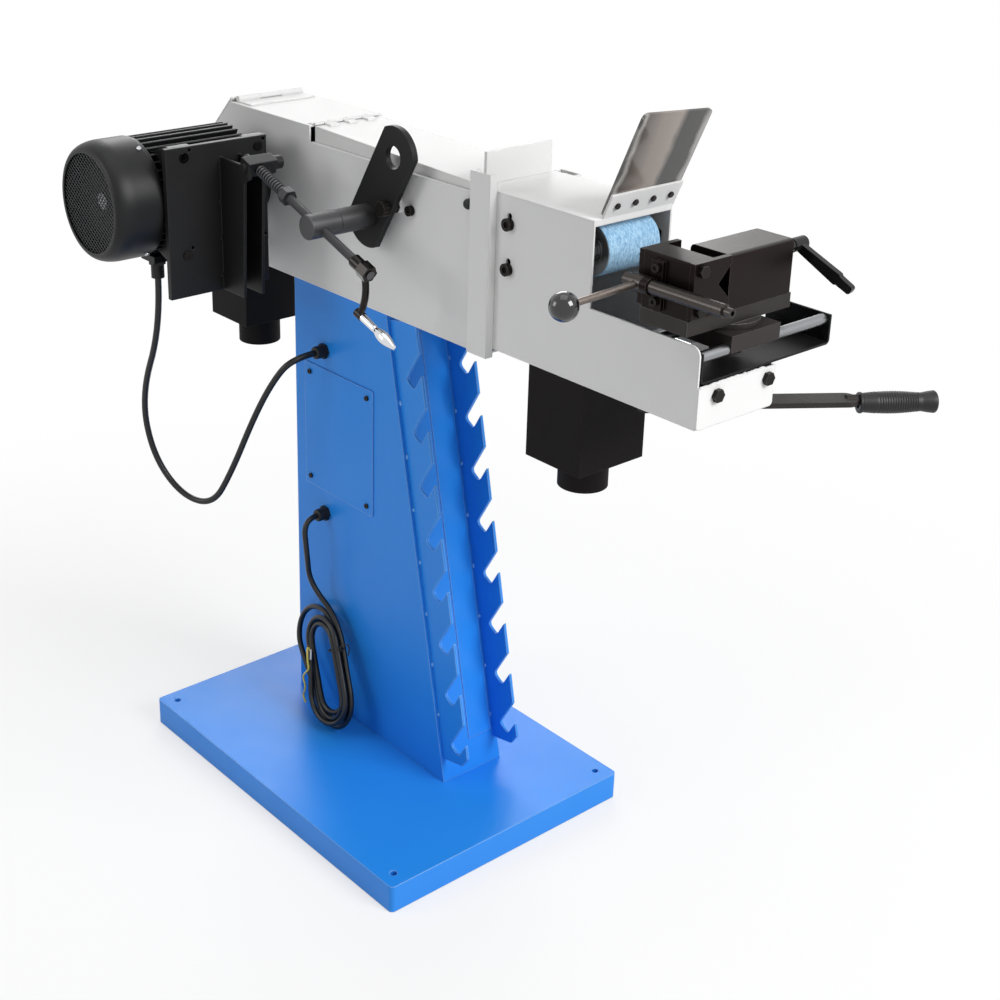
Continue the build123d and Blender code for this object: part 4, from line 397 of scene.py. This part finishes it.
black_plastic = moulded("moulded_black_plastic", "#111112", "#161617", 0.50, 0.9, 0.6, 0.35)
grey_plastic = moulded("moulded_grey_plastic", "#A9ACAE", "#9EA1A4", 0.50, 0.9, 0.5)
green_plastic = moulded("green_button_plastic", "#1E8A3C", "#187A33", 0.30, 1.5, 0.15)
red_plastic = moulded("red_button_plastic", "#C3221F", "#B01B19", 0.30, 1.5, 0.15)
knob_resin = moulded("polished_black_resin", "#0D0D0E", "#121213", 0.10, 6.0, 0.05, 0.5, 0.6)
lever_gloss = moulded("glossy_black_lever", "#0E0E0F", "#141415", 0.24, 2.0, 0.2, 0.4)
cord_sheath = moulded("black_pvc_sheath", "#0F0F10", "#161617", 0.34, 1.4, 0.35, 0.4)
grip_rubber = moulded("black_grip_rubber", "#121213", "#18181A", 0.46, 1.2, 0.5, 0.4)
earth_core = moulded("yellow_core_insulation", "#E0CE5A", "#C9B94C", 0.45, 1.0, 0.1)
brown_core = moulded("brown_core_insulation", "#5A3A28", "#4D3122", 0.45, 1.0, 0.1)
pale_core = moulded("pale_core_insulation", "#C9CCD2", "#B9BCC4", 0.45, 1.0, 0.1)
print("plastics made")

# %% [markdown]
# ## Clear spark shield
# The spark shield is a clear sheet whose protective film is still on. The film is loose in places,
# and the dark and pale bands that it would mirror from the room are painted into its colour as
# reflections with wavy borders. A ramp across the sheet gives the bands, and noise moves their
# borders. The sheet lets part of the light through.

# %% Clear sheet with film
shield_low, shield_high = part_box("spark_shield")
FILM_FOLD_MM = 60
FILM_DEPTH = 2 * MM
BAND_WAVE = 0.04
# The bands are painted reflections: dark and pale colours placed across the sheet.
LEFT_PAINTED_REFLECTIONS = ((0.0, "#5E5C5A"), (0.04, "#ACA9A5"), (0.09, "#605A56"), (0.32, "#8E847D"))
RIGHT_PAINTED_REFLECTIONS = ((0.56, "#9C928B"), (0.65, "#403F3E"), (0.90, "#454443"), (0.96, "#A4A29F"))
PAINTED_REFLECTION_BANDS = LEFT_PAINTED_REFLECTIONS + RIGHT_PAINTED_REFLECTIONS


def sheet_with_painted_reflections():
    """Clear sheet under a protective film, with bands of dark and light painted in as reflections."""
    fixed = {"IOR": 1.49, "Roughness": 0.08, "Transmission Weight": 0.2}
    material, tree, shader, place = start_material("clear_sheet_painted_reflections", fixed)
    across = add(tree, "SeparateXYZ", {0: place}).outputs["Y"]
    share = add(tree, "MapRange", {"Value": across, 1: shield_low.y, 2: shield_high.y}).outputs["Result"]
    folds = add(tree, "TexNoise", {"Vector": place, "Scale": per_metre(FILM_FOLD_MM), "Detail": 6.0})
    spread = {"Value": folds.outputs["Fac"], 1: 0.3, 2: 0.7, 3: -BAND_WAVE, 4: BAND_WAVE}
    wave = add(tree, "MapRange", spread)
    moved = add(tree, "Math", {0: share, 1: wave.outputs["Result"]}, operation="ADD").outputs["Value"]
    ramp = add(tree, "ValToRGB", {"Fac": moved})
    while len(ramp.color_ramp.elements) < len(PAINTED_REFLECTION_BANDS):
        ramp.color_ramp.elements.new(1.0)
    for element, (spot, code) in zip(ramp.color_ramp.elements, PAINTED_REFLECTION_BANDS):
        element.position = spot
        element.color = srgb(code)
    tree.links.new(ramp.outputs["Color"], shader.inputs["Base Color"])
    bump = add(tree, "Bump", {"Height": folds.outputs["Fac"], "Strength": 0.15, "Distance": FILM_DEPTH})
    tree.links.new(bump.outputs["Normal"], shader.inputs["Normal"])
    return material


clear_sheet = sheet_with_painted_reflections()
print("clear sheet with", len(PAINTED_REFLECTION_BANDS), "bands")

# %% [markdown]
# ## Dressing the construction pieces
# The record names a finish for each piece, so most pieces take the material that goes with their
# slot. The others are told apart here, because one slot covers several looks: the vice has a warmer
# oxide than the bolts, the tension bar a greyer one, and the dust boxes are more matt than the
# motor's plate.

# %% Materials on the construction pieces
FINISH_OF_SLOT = {
    "blue_paint": blue_enamel,
    "white_paint": white_enamel,
    "black_paint": black_enamel,
    "motor_paint": motor_enamel,
    "black_steel": black_oxide,
    "bright_steel": ground_steel,
    "chrome": chrome_plate,
    "roller_aluminium": turned_aluminium,
    "belt_cloth": belt_grit,
    "clear_sheet": clear_sheet,
    "black_plastic": black_plastic,
    "grey_plastic": grey_plastic,
    "green_plastic": green_plastic,
    "red_plastic": red_plastic,
    "black_gloss": knob_resin,
    "rubber": cord_sheath,
}
OWN_FINISH = {
    "dust_box_front": matt_black,
    "dust_box_rear": matt_black,
    "motor_plate": plate_enamel,
    "lifting_eye": plate_enamel,
    "vice_base": swivel_oxide,
    "v_jaw": vice_oxide,
    "v_plates": vice_oxide,
    "sliding_jaw": jaw_oxide,
    "cross_block": block_oxide,
    "cross_rods": rod_steel,
    "clamp_shaft": shaft_oxide,
    "feed_lever": lever_oxide,
    "lock_lever": lever_gloss,
    "crank_arm": black_chrome,
    "motor_bolts": black_chrome,
    "roller_fork": black_chrome,
    "roller_axle": dark_chrome,
    "tension_bar": grey_oxide,
    "tension_trunnion": grey_oxide,
    "tension_spindle": thread_oxide,
}
slot_of = {subpart["node"]: subpart["material_slot"] for subpart in frame["record"]["subparts"]}
for name, node in nodes.items():
    finish = OWN_FINISH.get(name, FINISH_OF_SLOT[slot_of[name]])
    node.data.materials.clear()
    node.data.materials.append(finish)
print(len(nodes), "construction pieces dressed,", len(OWN_FINISH), "of them in a finish of their own")

# %% [markdown]
# ## Smooth lines and finished pieces
# Cords, wires and the spring are round bars along a smooth line. A NURBS line of order 3 is smooth
# whatever its control points are, and a round bevel gives it thickness. Turned parts are a half
# outline spun round an axis. A finished piece keeps its object at the origin with its place in its
# mesh, and rides on the body that carries it.

# %% Helpers for new pieces
SAME_SPOT = 1e-6
CRISP_ANGLE, SOFT_ANGLE = 35, 60


def smooth_line(name, points, size):
    """Curve along control points in metres, with a round section of the given size."""
    line = bpy.data.curves.new(name, "CURVE")
    line.dimensions = "3D"
    line.bevel_depth = size / 2
    line.bevel_resolution = 5
    line.resolution_u = 8
    line.use_fill_caps = True
    spline = line.splines.new("NURBS")
    spline.points.add(len(points) - 1)
    for point, spot in zip(spline.points, points):
        point.co = (*spot, 1.0)
    spline.order_u = 3
    spline.use_endpoint_u = True
    return line


def mesh_of_line(line):
    """Mesh of a curve, as the curve shows itself."""
    holder = bpy.data.objects.new("line_holder", line)
    mesh = bpy.data.meshes.new_from_object(holder)
    bpy.data.objects.remove(holder)
    return mesh


def wire_shape(points, size):
    """Bmesh of a round wire along control points in metres."""
    mesh = mesh_of_line(smooth_line("wire_line", points, size))
    shape = bmesh.new()
    shape.from_mesh(mesh)
    bpy.data.meshes.remove(mesh)
    return shape


def spun(outline, centre, axis, steps, closed=True, shape=None):
    """Bmesh of an outline of (radius, distance along) points in metres, spun round an axis."""
    shape = shape or bmesh.new()
    side = axis.orthogonal().normalized()
    points = [shape.verts.new(centre + side * radius + axis * along) for radius, along in outline]
    following = points[1:] + points[:1] if closed else points[1:]
    edges = [shape.edges.new(pair) for pair in zip(points, following)]
    whole = {"cent": centre, "axis": axis, "angle": 2 * pi, "steps": steps, "use_merge": True}
    bmesh.ops.spin(shape, geom=points + edges, **whole)
    bmesh.ops.remove_doubles(shape, verts=shape.verts, dist=SAME_SPOT)
    bmesh.ops.recalc_face_normals(shape, faces=shape.faces)
    return shape


def add_piece(name, shape, material, body, sharp=CRISP_ANGLE):
    """Finished piece from a bmesh, shaded smooth up to the given angle, riding on a body."""
    mesh = bpy.data.meshes.new(name)
    shape.to_mesh(mesh)
    shape.free()
    mesh.materials.append(material)
    mesh.shade_smooth()
    mesh.set_sharp_from_angle(angle=radians(sharp))
    piece = bpy.data.objects.new(name, mesh)
    bpy.context.scene.collection.objects.link(piece)
    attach(piece, body)
    print(name, len(mesh.polygons), "faces")
    return piece


def reach_along(node, centre, axis):
    """Lowest and highest place of a node's points along an axis, and their largest distance from it."""
    offsets = [vertex.co - centre for vertex in nodes[node].data.vertices]
    heights = [offset.dot(axis) for offset in offsets]
    radius = max((offset - axis * height).length for offset, height in zip(offsets, heights))
    return min(heights), max(heights), radius


# %% [markdown]
# ## Motor cable
# A black cable hangs in one bow from the motor's terminal box to the upper gland on the column. It
# is one smooth line that follows a handful of listed points.

# %% Motor cable
CABLE_SIZE = 11 * MM
cable_route = [
    (-310.05, -228, 874),
    (-310.05, -228, 786),
    (-384, -230, 640),
    (-384, -214, 524),
    (-332, -191, 456),
    (-270, -164, 450),
    (-239, -142, 520),
    (-208, -113, 626),
    (-178, -93, 696),
    (-148.5, -74, 741),
    (-148.5, -27, 741),
]


def add_cord(name, route_mm, size):
    """Cord in its sheath along a route in millimetres, with its start and its middle line's length."""
    route = [Vector(spot) * MM for spot in route_mm]
    line = smooth_line(name, route, size)
    line.materials.append(cord_sheath)
    cord = bpy.data.objects.new(name, line)
    bpy.context.scene.collection.objects.link(cord)
    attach(cord, "frame")
    bare = line.copy()
    bare.bevel_depth = 0
    middle = mesh_of_line(bare)
    ends = [[middle.vertices[i].co for i in edge.vertices] for edge in middle.edges]
    length = sum((first - second).length for first, second in ends)
    return cord, route[0], length


cable, cable_exit, cable_length = add_cord("motor_cable_cord", cable_route, CABLE_SIZE)
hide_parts("motor_cable")
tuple(cable_exit)
print("motor cable", round(cable_length, 3), "m")

# %% [markdown]
# ## Mains cord
# The mains cord leaves the lower gland, drops along the column and is wound into a tall coil that
# leans on the column's foot. The coil is worked out strand by strand: each strand runs up or down
# from its top to its foot, and a half circle of points carries it into the next. The strands differ
# in place, and on the left, where nothing ties them, they fan out towards the top.

# %% Mains cord with its coil
MAINS_SIZE = 10 * MM
HALF_TURN_POINTS = 7
COIL_HALF = 49.0
LAYER = 5.8
LAST_TOP = 0.7
JOIN_RISE = 38
STRAND_SHARES = (0.25, 0.7)
coil_down = Vector((0.40, -0.16, -0.90)).normalized()
coil_right = Vector((0.914, 0, 0.406)).normalized()
coil_out = coil_down.cross(coil_right)
coil_mid = Vector((-90, -46, 158))
# Each strand: across at its top, across at its foot, layer.
strands = [(44, 55, -1), (-98, -60, -1), (32, 43.5, -1), (-60, -48, -1), (20, 32, -1)]
strands += [(-36, -26, 1), (33, 43, 1), (-47.5, -37, 1), (45, 54.5, 1), (-22, -42, 3)]
strand_tops = [-COIL_HALF] * (len(strands) - 1) + [-COIL_HALF * LAST_TOP]


def coil_spot(across, along, out):
    """Point in millimetres from its place across, down and out of the coil's leaning plane."""
    return coil_mid + coil_right * across + coil_down * along + coil_out * out


def strand_point(strand, along):
    """Point on a strand, which leans from its top to its foot."""
    top, foot, layer = strand
    share = (along + COIL_HALF) / (2 * COIL_HALF)
    return coil_spot(top + (foot - top) * share, along, layer * LAYER)


def coil_route():
    """Points of every strand and half turn, from the join to the cord's end."""
    route = []
    for i, strand in enumerate(strands):
        goes_down = i % 2 == 0
        start = strand_tops[i] if goes_down else COIL_HALF
        end = COIL_HALF if goes_down else strand_tops[i]
        shares = STRAND_SHARES if i else STRAND_SHARES[1:]
        route += [strand_point(strand, start + (end - start) * share) for share in shares]
        if i + 1 == len(strands):
            route.append(strand_point(strand, end))
            break
        first, second = strand_point(strand, end), strand_point(strands[i + 1], end)
        middle, arm = (first + second) / 2, (first - second) / 2
        bulge = coil_down * (arm.length if goes_down else -arm.length)
        turns = [pi * step / HALF_TURN_POINTS for step in range(HALF_TURN_POINTS + 1)]
        route += [middle + arm * cos(turn) + bulge * sin(turn) for turn in turns]
    return route


join = strand_point(strands[0], -COIL_HALF)
free_route = [(-148.5, -27, 435), (-148.5, -55, 435), (-140, -54, 371), (-150, -42, 306)]
mains_route = [*free_route, join - coil_down * JOIN_RISE, *coil_route()]
mains, mains_exit, mains_length = add_cord("mains_cord_line", mains_route, MAINS_SIZE)
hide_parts("mains_cord", "mains_cord_coil")
print("mains cord", round(mains_length, 3), "m in", len(mains_route), "points")

# %% [markdown]
# ## End of the mains cord
# The cord is delivered without a plug: its sheath is cut back and the insulated cores stick out.
# The earth core is longer and hangs in waves. A plastic twist tie with a hooked tail holds the
# strands on the right together.

# %% Cores at the cord's end
CORE_SIZE = 3.4 * MM
CORE_INSIDE = 6
cord_end = strand_point(strands[-1], strand_tops[-1])
inside_end = cord_end + coil_down * CORE_INSIDE


def add_core(name, steps, material):
    """Insulated core from inside the cord's end along steps in millimetres."""
    spots = [inside_end, cord_end] + [cord_end + Vector(step) for step in steps]
    core = wire_shape([spot * MM for spot in spots], CORE_SIZE)
    return add_piece(name, core, material, "frame", SOFT_ANGLE)


earth_steps = [(-3, -3, 8), (0, -8, 9), (3, -10, -4), (4, -10, -18), (8, -10, -30), (-5, -11, -44)]
earth_steps += [(-9, -12, -54), (1, -13, -66), (-2, -14, -80), (-7, -14, -90), (3, -15, -100)]
end_pieces = [
    add_core("earth_core_wire", earth_steps, earth_core),
    add_core("brown_core_wire", [(-4, 0, 6), (-2, -4, 12)], brown_core),
    add_core("pale_core_wire", [(2, -2, 6), (9, -6, 2), (9, -7, -10)], pale_core),
]

# %% Twist tie
TIE_SIZE = 2.6 * MM
TIE_ACROSS, TIE_ALONG = 34.5, -34
TIE_WIDE, TIE_DEEP = 20, 13
TIE_RISE = 0.4
TIE_POINTS = 10
tie_turns = [2 * pi * step / TIE_POINTS for step in range(TIE_POINTS + 2)]
tie_spots = [
    coil_spot(TIE_ACROSS + TIE_WIDE * cos(turn), TIE_ALONG - TIE_RISE * turn, TIE_DEEP * sin(turn))
    for turn in tie_turns
]
tie_tail = [(58, -40, 8), (64, -45, 4), (72, -46, 2), (79, -40, 2), (76, -31, 2), (72, -26, 2)]
tie_spots += [coil_spot(*spot) for spot in tie_tail]
tie = wire_shape([spot * MM for spot in tie_spots], TIE_SIZE)
end_pieces.append(add_piece("coil_twist_tie", tie, black_plastic, "frame", SOFT_ANGLE))
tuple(mains_exit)

# %% [markdown]
# ## Fan cowl
# The cowl over the motor's fan is a deep-drawn cap with a rounded shoulder and a flat face of wire
# mesh. The cap is spun from its section, with a real wall and a lip. The mesh is two layers of thin
# bars, each cut to the circle, because a grille drawn only as a texture would have no depth from
# the side. Three plated screws hold the cap.

# %% Shell of the cowl
shaft_spot = Vector(joints["drive_spin"]["pos_m"])
outward = Vector((0, -1, 0))
cowl_start, cowl_end, cowl_radius = reach_along("fan_cowl", shaft_spot, outward)
COWL_WALL = 2 * MM
COWL_LIP = 4 * MM
FACE_RADIUS = 85 * MM
SHOULDER = 34 * MM
SHOULDER_STEPS = 10


def shoulder_arc(radius, face, shift):
    """Quarter ellipse of the cowl's shoulder from its side to its face."""
    turns = [pi / 2 * step / SHOULDER_STEPS for step in range(SHOULDER_STEPS + 1)]
    across, start = radius - face, cowl_end - SHOULDER
    return [(face + across * cos(turn), start + SHOULDER * sin(turn) - shift) for turn in turns]


outer = [(cowl_radius, cowl_start), *shoulder_arc(cowl_radius, FACE_RADIUS, 0)]
lip = [(FACE_RADIUS - COWL_LIP, cowl_end), (FACE_RADIUS - COWL_LIP, cowl_end - COWL_WALL)]
inner = [*reversed(shoulder_arc(cowl_radius - COWL_WALL, FACE_RADIUS - COWL_WALL, COWL_WALL))]
section = [*outer, *lip, *inner, (cowl_radius - COWL_WALL, cowl_start)]
cowl_shape = spun(section, shaft_spot, outward, steps=96)
cowl = add_piece("fan_cowl_shell", cowl_shape, motor_enamel, "motor")
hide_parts("fan_cowl")

# %% Mesh of the cowl
MESH_STEP = 6.4 * MM
MESH_BAR = 1.5 * MM
BAR_FLATNESS = 0.6
MESH_TUCK = 3 * MM
MESH_LAYERS = ((3.2 * MM, radians(32)), (4.2 * MM, radians(-48)))


def mesh_layer(shape, depth, lean):
    """One layer of parallel bars across the cowl's face, turned by lean about the shaft."""
    reach = FACE_RADIUS - MESH_TUCK
    turn = Matrix.Rotation(lean, 4, "Y")
    count = int(reach / MESH_STEP)
    for row in range(-count, count + 1):
        offset = row * MESH_STEP
        half = sqrt(reach**2 - offset**2)
        place = turn @ Matrix.Translation((0, 0, offset))
        size = Matrix.Diagonal((2 * half, MESH_BAR * BAR_FLATNESS, MESH_BAR, 1))
        spot = Matrix.Translation(shaft_spot + outward * depth)
        bmesh.ops.create_cube(shape, size=1, matrix=spot @ place @ size)


grille = bmesh.new()
for inset, lean in MESH_LAYERS:
    mesh_layer(grille, cowl_end - inset, lean)
add_piece("fan_grille", grille, grille_enamel, "motor")

# %% Screws of the cowl
SCREW_RADIUS = 4.2 * MM
SCREW_HEIGHT = 2.6 * MM
SCREW_INSET = 6.9 * MM
FIRST_SCREW, SCREW_COUNT = 62.9, 3
PAN_TOP = ((0, 0.5), (0.35, 0.5), (0.45, 1.0), (0.75, 0.94))
PAN_SIDE = ((0.94, 0.62), (1.0, 0.2), (1.0, -0.4), (0, -0.4))
pan_head = [(SCREW_RADIUS * radius, SCREW_HEIGHT * height) for radius, height in PAN_TOP + PAN_SIDE]
cowl_screws = bmesh.new()
for screw in range(SCREW_COUNT):
    turn = radians(FIRST_SCREW + 360 / SCREW_COUNT * screw)
    away = Vector((cos(turn), 0, sin(turn)))
    spot = shaft_spot + away * cowl_radius + outward * (cowl_start + SCREW_INSET)
    spun(pan_head, spot, away, steps=20, closed=False, shape=cowl_screws)
add_piece("cowl_screws", cowl_screws, zinc_plate, "motor")

# %% [markdown]
# ## Tension spring
# A coil spring sits on the tension screw between the motor's bracket and a collar. It is a helix of
# round wire. Its points are few for each curl, because the smooth line rounds them.

# %% Tension spring
screw_axis = Vector(joints["crank_turn"]["axis"]).normalized()
screw_spot = Vector(joints["crank_turn"]["pos_m"])
spring_low, spring_high, spring_radius = reach_along("tension_spring", screw_spot, screw_axis)
SPRING_WIRE = 2.8 * MM
SPRING_CURLS = 11
CURL_POINTS = 12


def spring_points():
    """Control points of the spring's helix along the screw."""
    side = screw_axis.orthogonal().normalized()
    other = screw_axis.cross(side)
    mean = spring_radius - SPRING_WIRE / 2
    span = spring_high - spring_low - SPRING_WIRE
    total = SPRING_CURLS * CURL_POINTS
    for step in range(total + 1):
        turn = 2 * pi * step / CURL_POINTS
        height = spring_low + SPRING_WIRE / 2 + span * step / total
        yield screw_spot + screw_axis * height + (side * cos(turn) + other * sin(turn)) * mean


spring = wire_shape(list(spring_points()), SPRING_WIRE)
spring_wire = add_piece("spring_wire", spring, grey_oxide, "screw_slide", SOFT_ANGLE)
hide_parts("tension_spring")

# %% [markdown]
# ## Grip of the feed lever
# The lever ends in a moulded rubber grip: a flange, a barrel with shallow ribs across its middle, a
# neck and a flared end. All of it is round, so it is spun from one outline that also has the bore
# for the lever's rod. Two sine waves give the swell of the barrel and of the end.

# %% Ribbed grip
LEVER_TURN = radians(54.5)
lever_axis = Vector((cos(LEVER_TURN), sin(LEVER_TURN), 0))
lever_pivot = Vector(joints["feed_turn"]["pos_m"])
grip_low, grip_high, grip_radius = reach_along("lever_grip", lever_pivot, lever_axis)
GRIP_BORE = 8.1 * MM
GRIP_END = 8 * MM
GRIP_DROP = 4 * MM
FLANGE = 5.5 * MM
FLANGE_EDGE, FLANGE_SIZE = 0.88, 0.94
FLANGE_ROUND, FLANGE_FALL = 1 * MM, 1.5 * MM
RIB_STEP = 3.6 * MM
RIB_DEPTH = 0.7 * MM
RIB_SLOPE = 0.35
RIBS_FROM, RIBS_TO = 0.24, 0.74
NECK, WAIST = 0.80, 0.82
TIP_ROUND = 4 * MM
TIP_STEPS = 5


def grip_size(share):
    """Radius at a share of the grip's length: a barrel up to the neck, then the flared end."""
    swell = sin(pi * share / NECK) if share < NECK else sin(pi / 2 * (share - NECK) / (1 - NECK))
    return grip_radius * (WAIST + (1 - WAIST) * swell)


def grip_outline():
    """Half outline of the grip from its bore to the tip, as (radius, distance along)."""
    length = grip_high - grip_low
    outline = [(0, length - GRIP_END), (GRIP_BORE, length - GRIP_END), (GRIP_BORE, 0)]
    rim = grip_radius * FLANGE_SIZE
    outline += [(grip_radius * FLANGE_EDGE, 0), (rim, FLANGE_ROUND), (rim, FLANGE - FLANGE_FALL)]
    for rib in range(int((length - FLANGE - 2 * TIP_ROUND) / RIB_STEP) + 1):
        start = FLANGE + RIB_STEP * rib
        crest = grip_size(start / length)
        groove = RIB_DEPTH if RIBS_FROM < start / length < RIBS_TO else 0
        outline += [(crest - groove, start), (crest, start + RIB_STEP * RIB_SLOPE)]
    turns = [pi / 2 * step / TIP_STEPS for step in range(TIP_STEPS + 1)]
    flat, start = grip_radius - TIP_ROUND, length - TIP_ROUND
    tip = [(flat + TIP_ROUND * cos(turn), start + TIP_ROUND * sin(turn)) for turn in turns]
    return [*outline, *tip, (0, length)]


grip_start = lever_pivot + Vector((0, 0, -GRIP_DROP)) + lever_axis * grip_low
grip_shape = spun(grip_outline(), grip_start, lever_axis, steps=40, closed=False)
grip = add_piece("ribbed_grip", grip_shape, grip_rubber, "feed_lever")
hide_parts("lever_grip")

# %% [markdown]
# ## Weld tacks and small fittings
# The roller racks are tacked to the column, the front plate is welded along its top, and the
# motor's plate is tacked to its rib. A tack is a small uneven mound, so each one is a sphere that
# is flattened and varied by a seeded draw. A black knob beside the collar holds the lid down.

# %% Weld beads
BEAD_MM = 7.0
draw = Random(5)


def weld_beads(name, spots_mm, size_mm, material, body):
    """One mound for each spot, size_mm along each axis, each a little different."""
    shape = bmesh.new()
    for spot in spots_mm:
        size = [extent * draw.uniform(0.8, 1.15) * MM for extent in size_mm]
        place = Matrix.Translation(Vector(spot) * MM) @ Matrix.Diagonal((*size, 1))
        bmesh.ops.create_icosphere(shape, subdivisions=2, radius=0.5, matrix=place)
    return add_piece(name, shape, material, body, SOFT_ANGLE)


# %% Tacks of the racks
SLOPE_FOOT_X, SLOPE_FOOT_Z = 186, 48
SLOPE_RUN, SLOPE_RISE = 167, 809
HOOK_STEP, HOOKS = 89.4, 8
LEFT_TACK, LEFT_SIDE = 795.9, 0.6
RIGHT_TACK, RIGHT_SIDE = 757.3, 112.6
TACK_PROUD = 1


def slope_x(height):
    """Place of the column's sloping front at a height, in millimetres."""
    return SLOPE_FOOT_X - SLOPE_RUN * (height - SLOPE_FOOT_Z) / SLOPE_RISE


rack_tacks = []
for highest, side in ((LEFT_TACK, LEFT_SIDE), (RIGHT_TACK, RIGHT_SIDE)):
    heights = [highest - HOOK_STEP * hook for hook in range(HOOKS)]
    rack_tacks += [(slope_x(height) + TACK_PROUD, side, height) for height in heights]
# The rack tacks are a paler blue, a painted highlight.
weld_beads("rack_weld_tacks", rack_tacks, (BEAD_MM, 3.5, 9.0), weld_highlight_blue, "frame")

# %% Seam of the front plate and tacks of the motor plate
SEAM_X, SEAM_Y, SEAM_Z = 687.5, -12, 933.6
SEAM_STEP, SEAM_BEADS = 3.6, 36
PLATE_X, PLATE_Y = -217.5, -160
seam = [
    (SEAM_X, SEAM_Y + SEAM_STEP * bead + draw.uniform(-0.5, 0.5), SEAM_Z + draw.uniform(-0.8, 0.5))
    for bead in range(SEAM_BEADS)
]
weld_beads("front_plate_weld", seam, (4.6, 5.4, 4.2), white_enamel, "frame")
plate_tacks = [(PLATE_X, PLATE_Y, height) for height in (1012, 951, 888)]
weld_beads("plate_weld_tacks", plate_tacks, (4.0, 5.0, BEAD_MM), motor_enamel, "motor")

# %% Knob that holds the lid
KNOB_SPOT = Vector((233, -15.5, 1083)) * MM
KNOB_CAP = ((0, 12), (4.5, 12), (6.5, 11), (8, 8.5), (8, 3.5))
KNOB_FOOT = ((6.5, 1.2), (4, 0.8), (4, -0.4), (0, -0.4))
knob_outline = [(radius * MM, height * MM) for radius, height in KNOB_CAP + KNOB_FOOT]
knob = spun(knob_outline, KNOB_SPOT, outward, steps=32, closed=False)
add_piece("lid_knob", knob, black_plastic, "frame")

# %% [markdown]
# ## Studio
# The machine stands on a pale floor under soft light: a broad lamp overhead, a second one from the
# front right that brightens the faces towards the vice, a third one behind that draws the pale
# sheen on the base, and a weak one at the side. Rays from the camera, mirrors and glass see a white
# background, while the light that it throws on the machine stays at a plain level. The floor turns
# to that white with distance, so that no horizon shows, and keeps the shadow near the base.

# %% Floor
FLOOR_SIZE = 14
FLOOR_DROP = 1 * MM
NEAR_SHARE, FAR_SHARE = 0.62, 1.0
NEAR_REACH, FAR_REACH = 0.7, 1.9
floor_mesh = bpy.data.meshes.new("floor")
floor_shape = bmesh.new()
bmesh.ops.create_grid(floor_shape, x_segments=1, y_segments=1, size=FLOOR_SIZE / 2)
floor_shape.to_mesh(floor_mesh)
floor_shape.free()
floor = bpy.data.objects.new("floor", floor_mesh)
floor.location.z = -FLOOR_DROP
bpy.context.scene.collection.objects.link(floor)


def seen_directly(tree):
    """1 for rays that the camera, a mirror or glass sends, 0 for rays that carry light."""
    path = add(tree, "LightPath").outputs
    direct = add(tree, "Math", {0: path["Is Camera Ray"], 1: path["Is Glossy Ray"]}, operation="MAXIMUM")
    through = {0: direct.outputs["Value"], 1: path["Is Transmission Ray"]}
    return add(tree, "Math", through, operation="MAXIMUM").outputs["Value"]


pale_floor = bpy.data.materials.new("pale_floor")
pale_floor.use_nodes = True
floor_tree = pale_floor.node_tree
floor_tree.nodes.clear()
matt = add(floor_tree, "BsdfDiffuse", {"Color": srgb("#EDEDED")})
glow = add(floor_tree, "Emission", {"Color": srgb("#FFFFFF")})
floor_place = add(floor_tree, "TexCoord").outputs["Object"]
reach = add(floor_tree, "VectorMath", {0: floor_place}, operation="LENGTH").outputs["Value"]
fade = {"Value": reach, 1: NEAR_REACH, 2: FAR_REACH, 3: NEAR_SHARE, 4: FAR_SHARE}
fading = add(floor_tree, "MapRange", fade, interpolation_type="SMOOTHSTEP").outputs["Result"]
share = add(floor_tree, "Math", {0: seen_directly(floor_tree), 1: fading}, operation="MULTIPLY")
blend = {0: share.outputs["Value"], 1: matt.outputs["BSDF"], 2: glow.outputs["Emission"]}
add(floor_tree, "OutputMaterial", {"Surface": add(floor_tree, "MixShader", blend).outputs["Shader"]})
floor_mesh.materials.append(pale_floor)
print("floor", FLOOR_SIZE, "m")

# %% World
ROOM_LIGHT = 0.30
world = bpy.data.worlds.new("studio")
bpy.context.scene.world = world
world.use_nodes = True
sky = world.node_tree
sky.nodes.clear()
room = add(sky, "Background", {"Color": srgb("#FFFFFF"), "Strength": ROOM_LIGHT})
white = add(sky, "Background", {"Color": srgb("#FFFFFF"), "Strength": 1.0})
chosen = {0: seen_directly(sky), 1: room.outputs["Background"], 2: white.outputs["Background"]}
add(sky, "OutputWorld", {"Surface": add(sky, "MixShader", chosen).outputs["Shader"]})
print("room light", ROOM_LIGHT)

# %% Lamps
ARM_CENTRE = Vector((0.1, 0.06, 0.8))


def soft_lamp(name, spot, size, watts):
    """Square area lamp that faces the machine."""
    light = bpy.data.lights.new(name, "AREA")
    light.size = size
    light.energy = watts
    lamp = bpy.data.objects.new(name, light)
    lamp.location = spot
    lamp.rotation_mode = "QUATERNION"
    lamp.rotation_quaternion = (ARM_CENTRE - lamp.location).to_track_quat("-Z", "Y")
    bpy.context.scene.collection.objects.link(lamp)


soft_lamp("overhead_lamp", Vector((0.3, -0.2, 7.5)), 5.0, 90)
soft_lamp("front_lamp", Vector((5.2, 1.2, 4.2)), 3.0, 335)
soft_lamp("back_lamp", Vector((-3.5, 2.8, 3.0)), 2.6, 90)
soft_lamp("side_lamp", Vector((-1.0, -2.4, 1.9)), 1.2, 17)
print("four lamps facing", list(ARM_CENTRE))
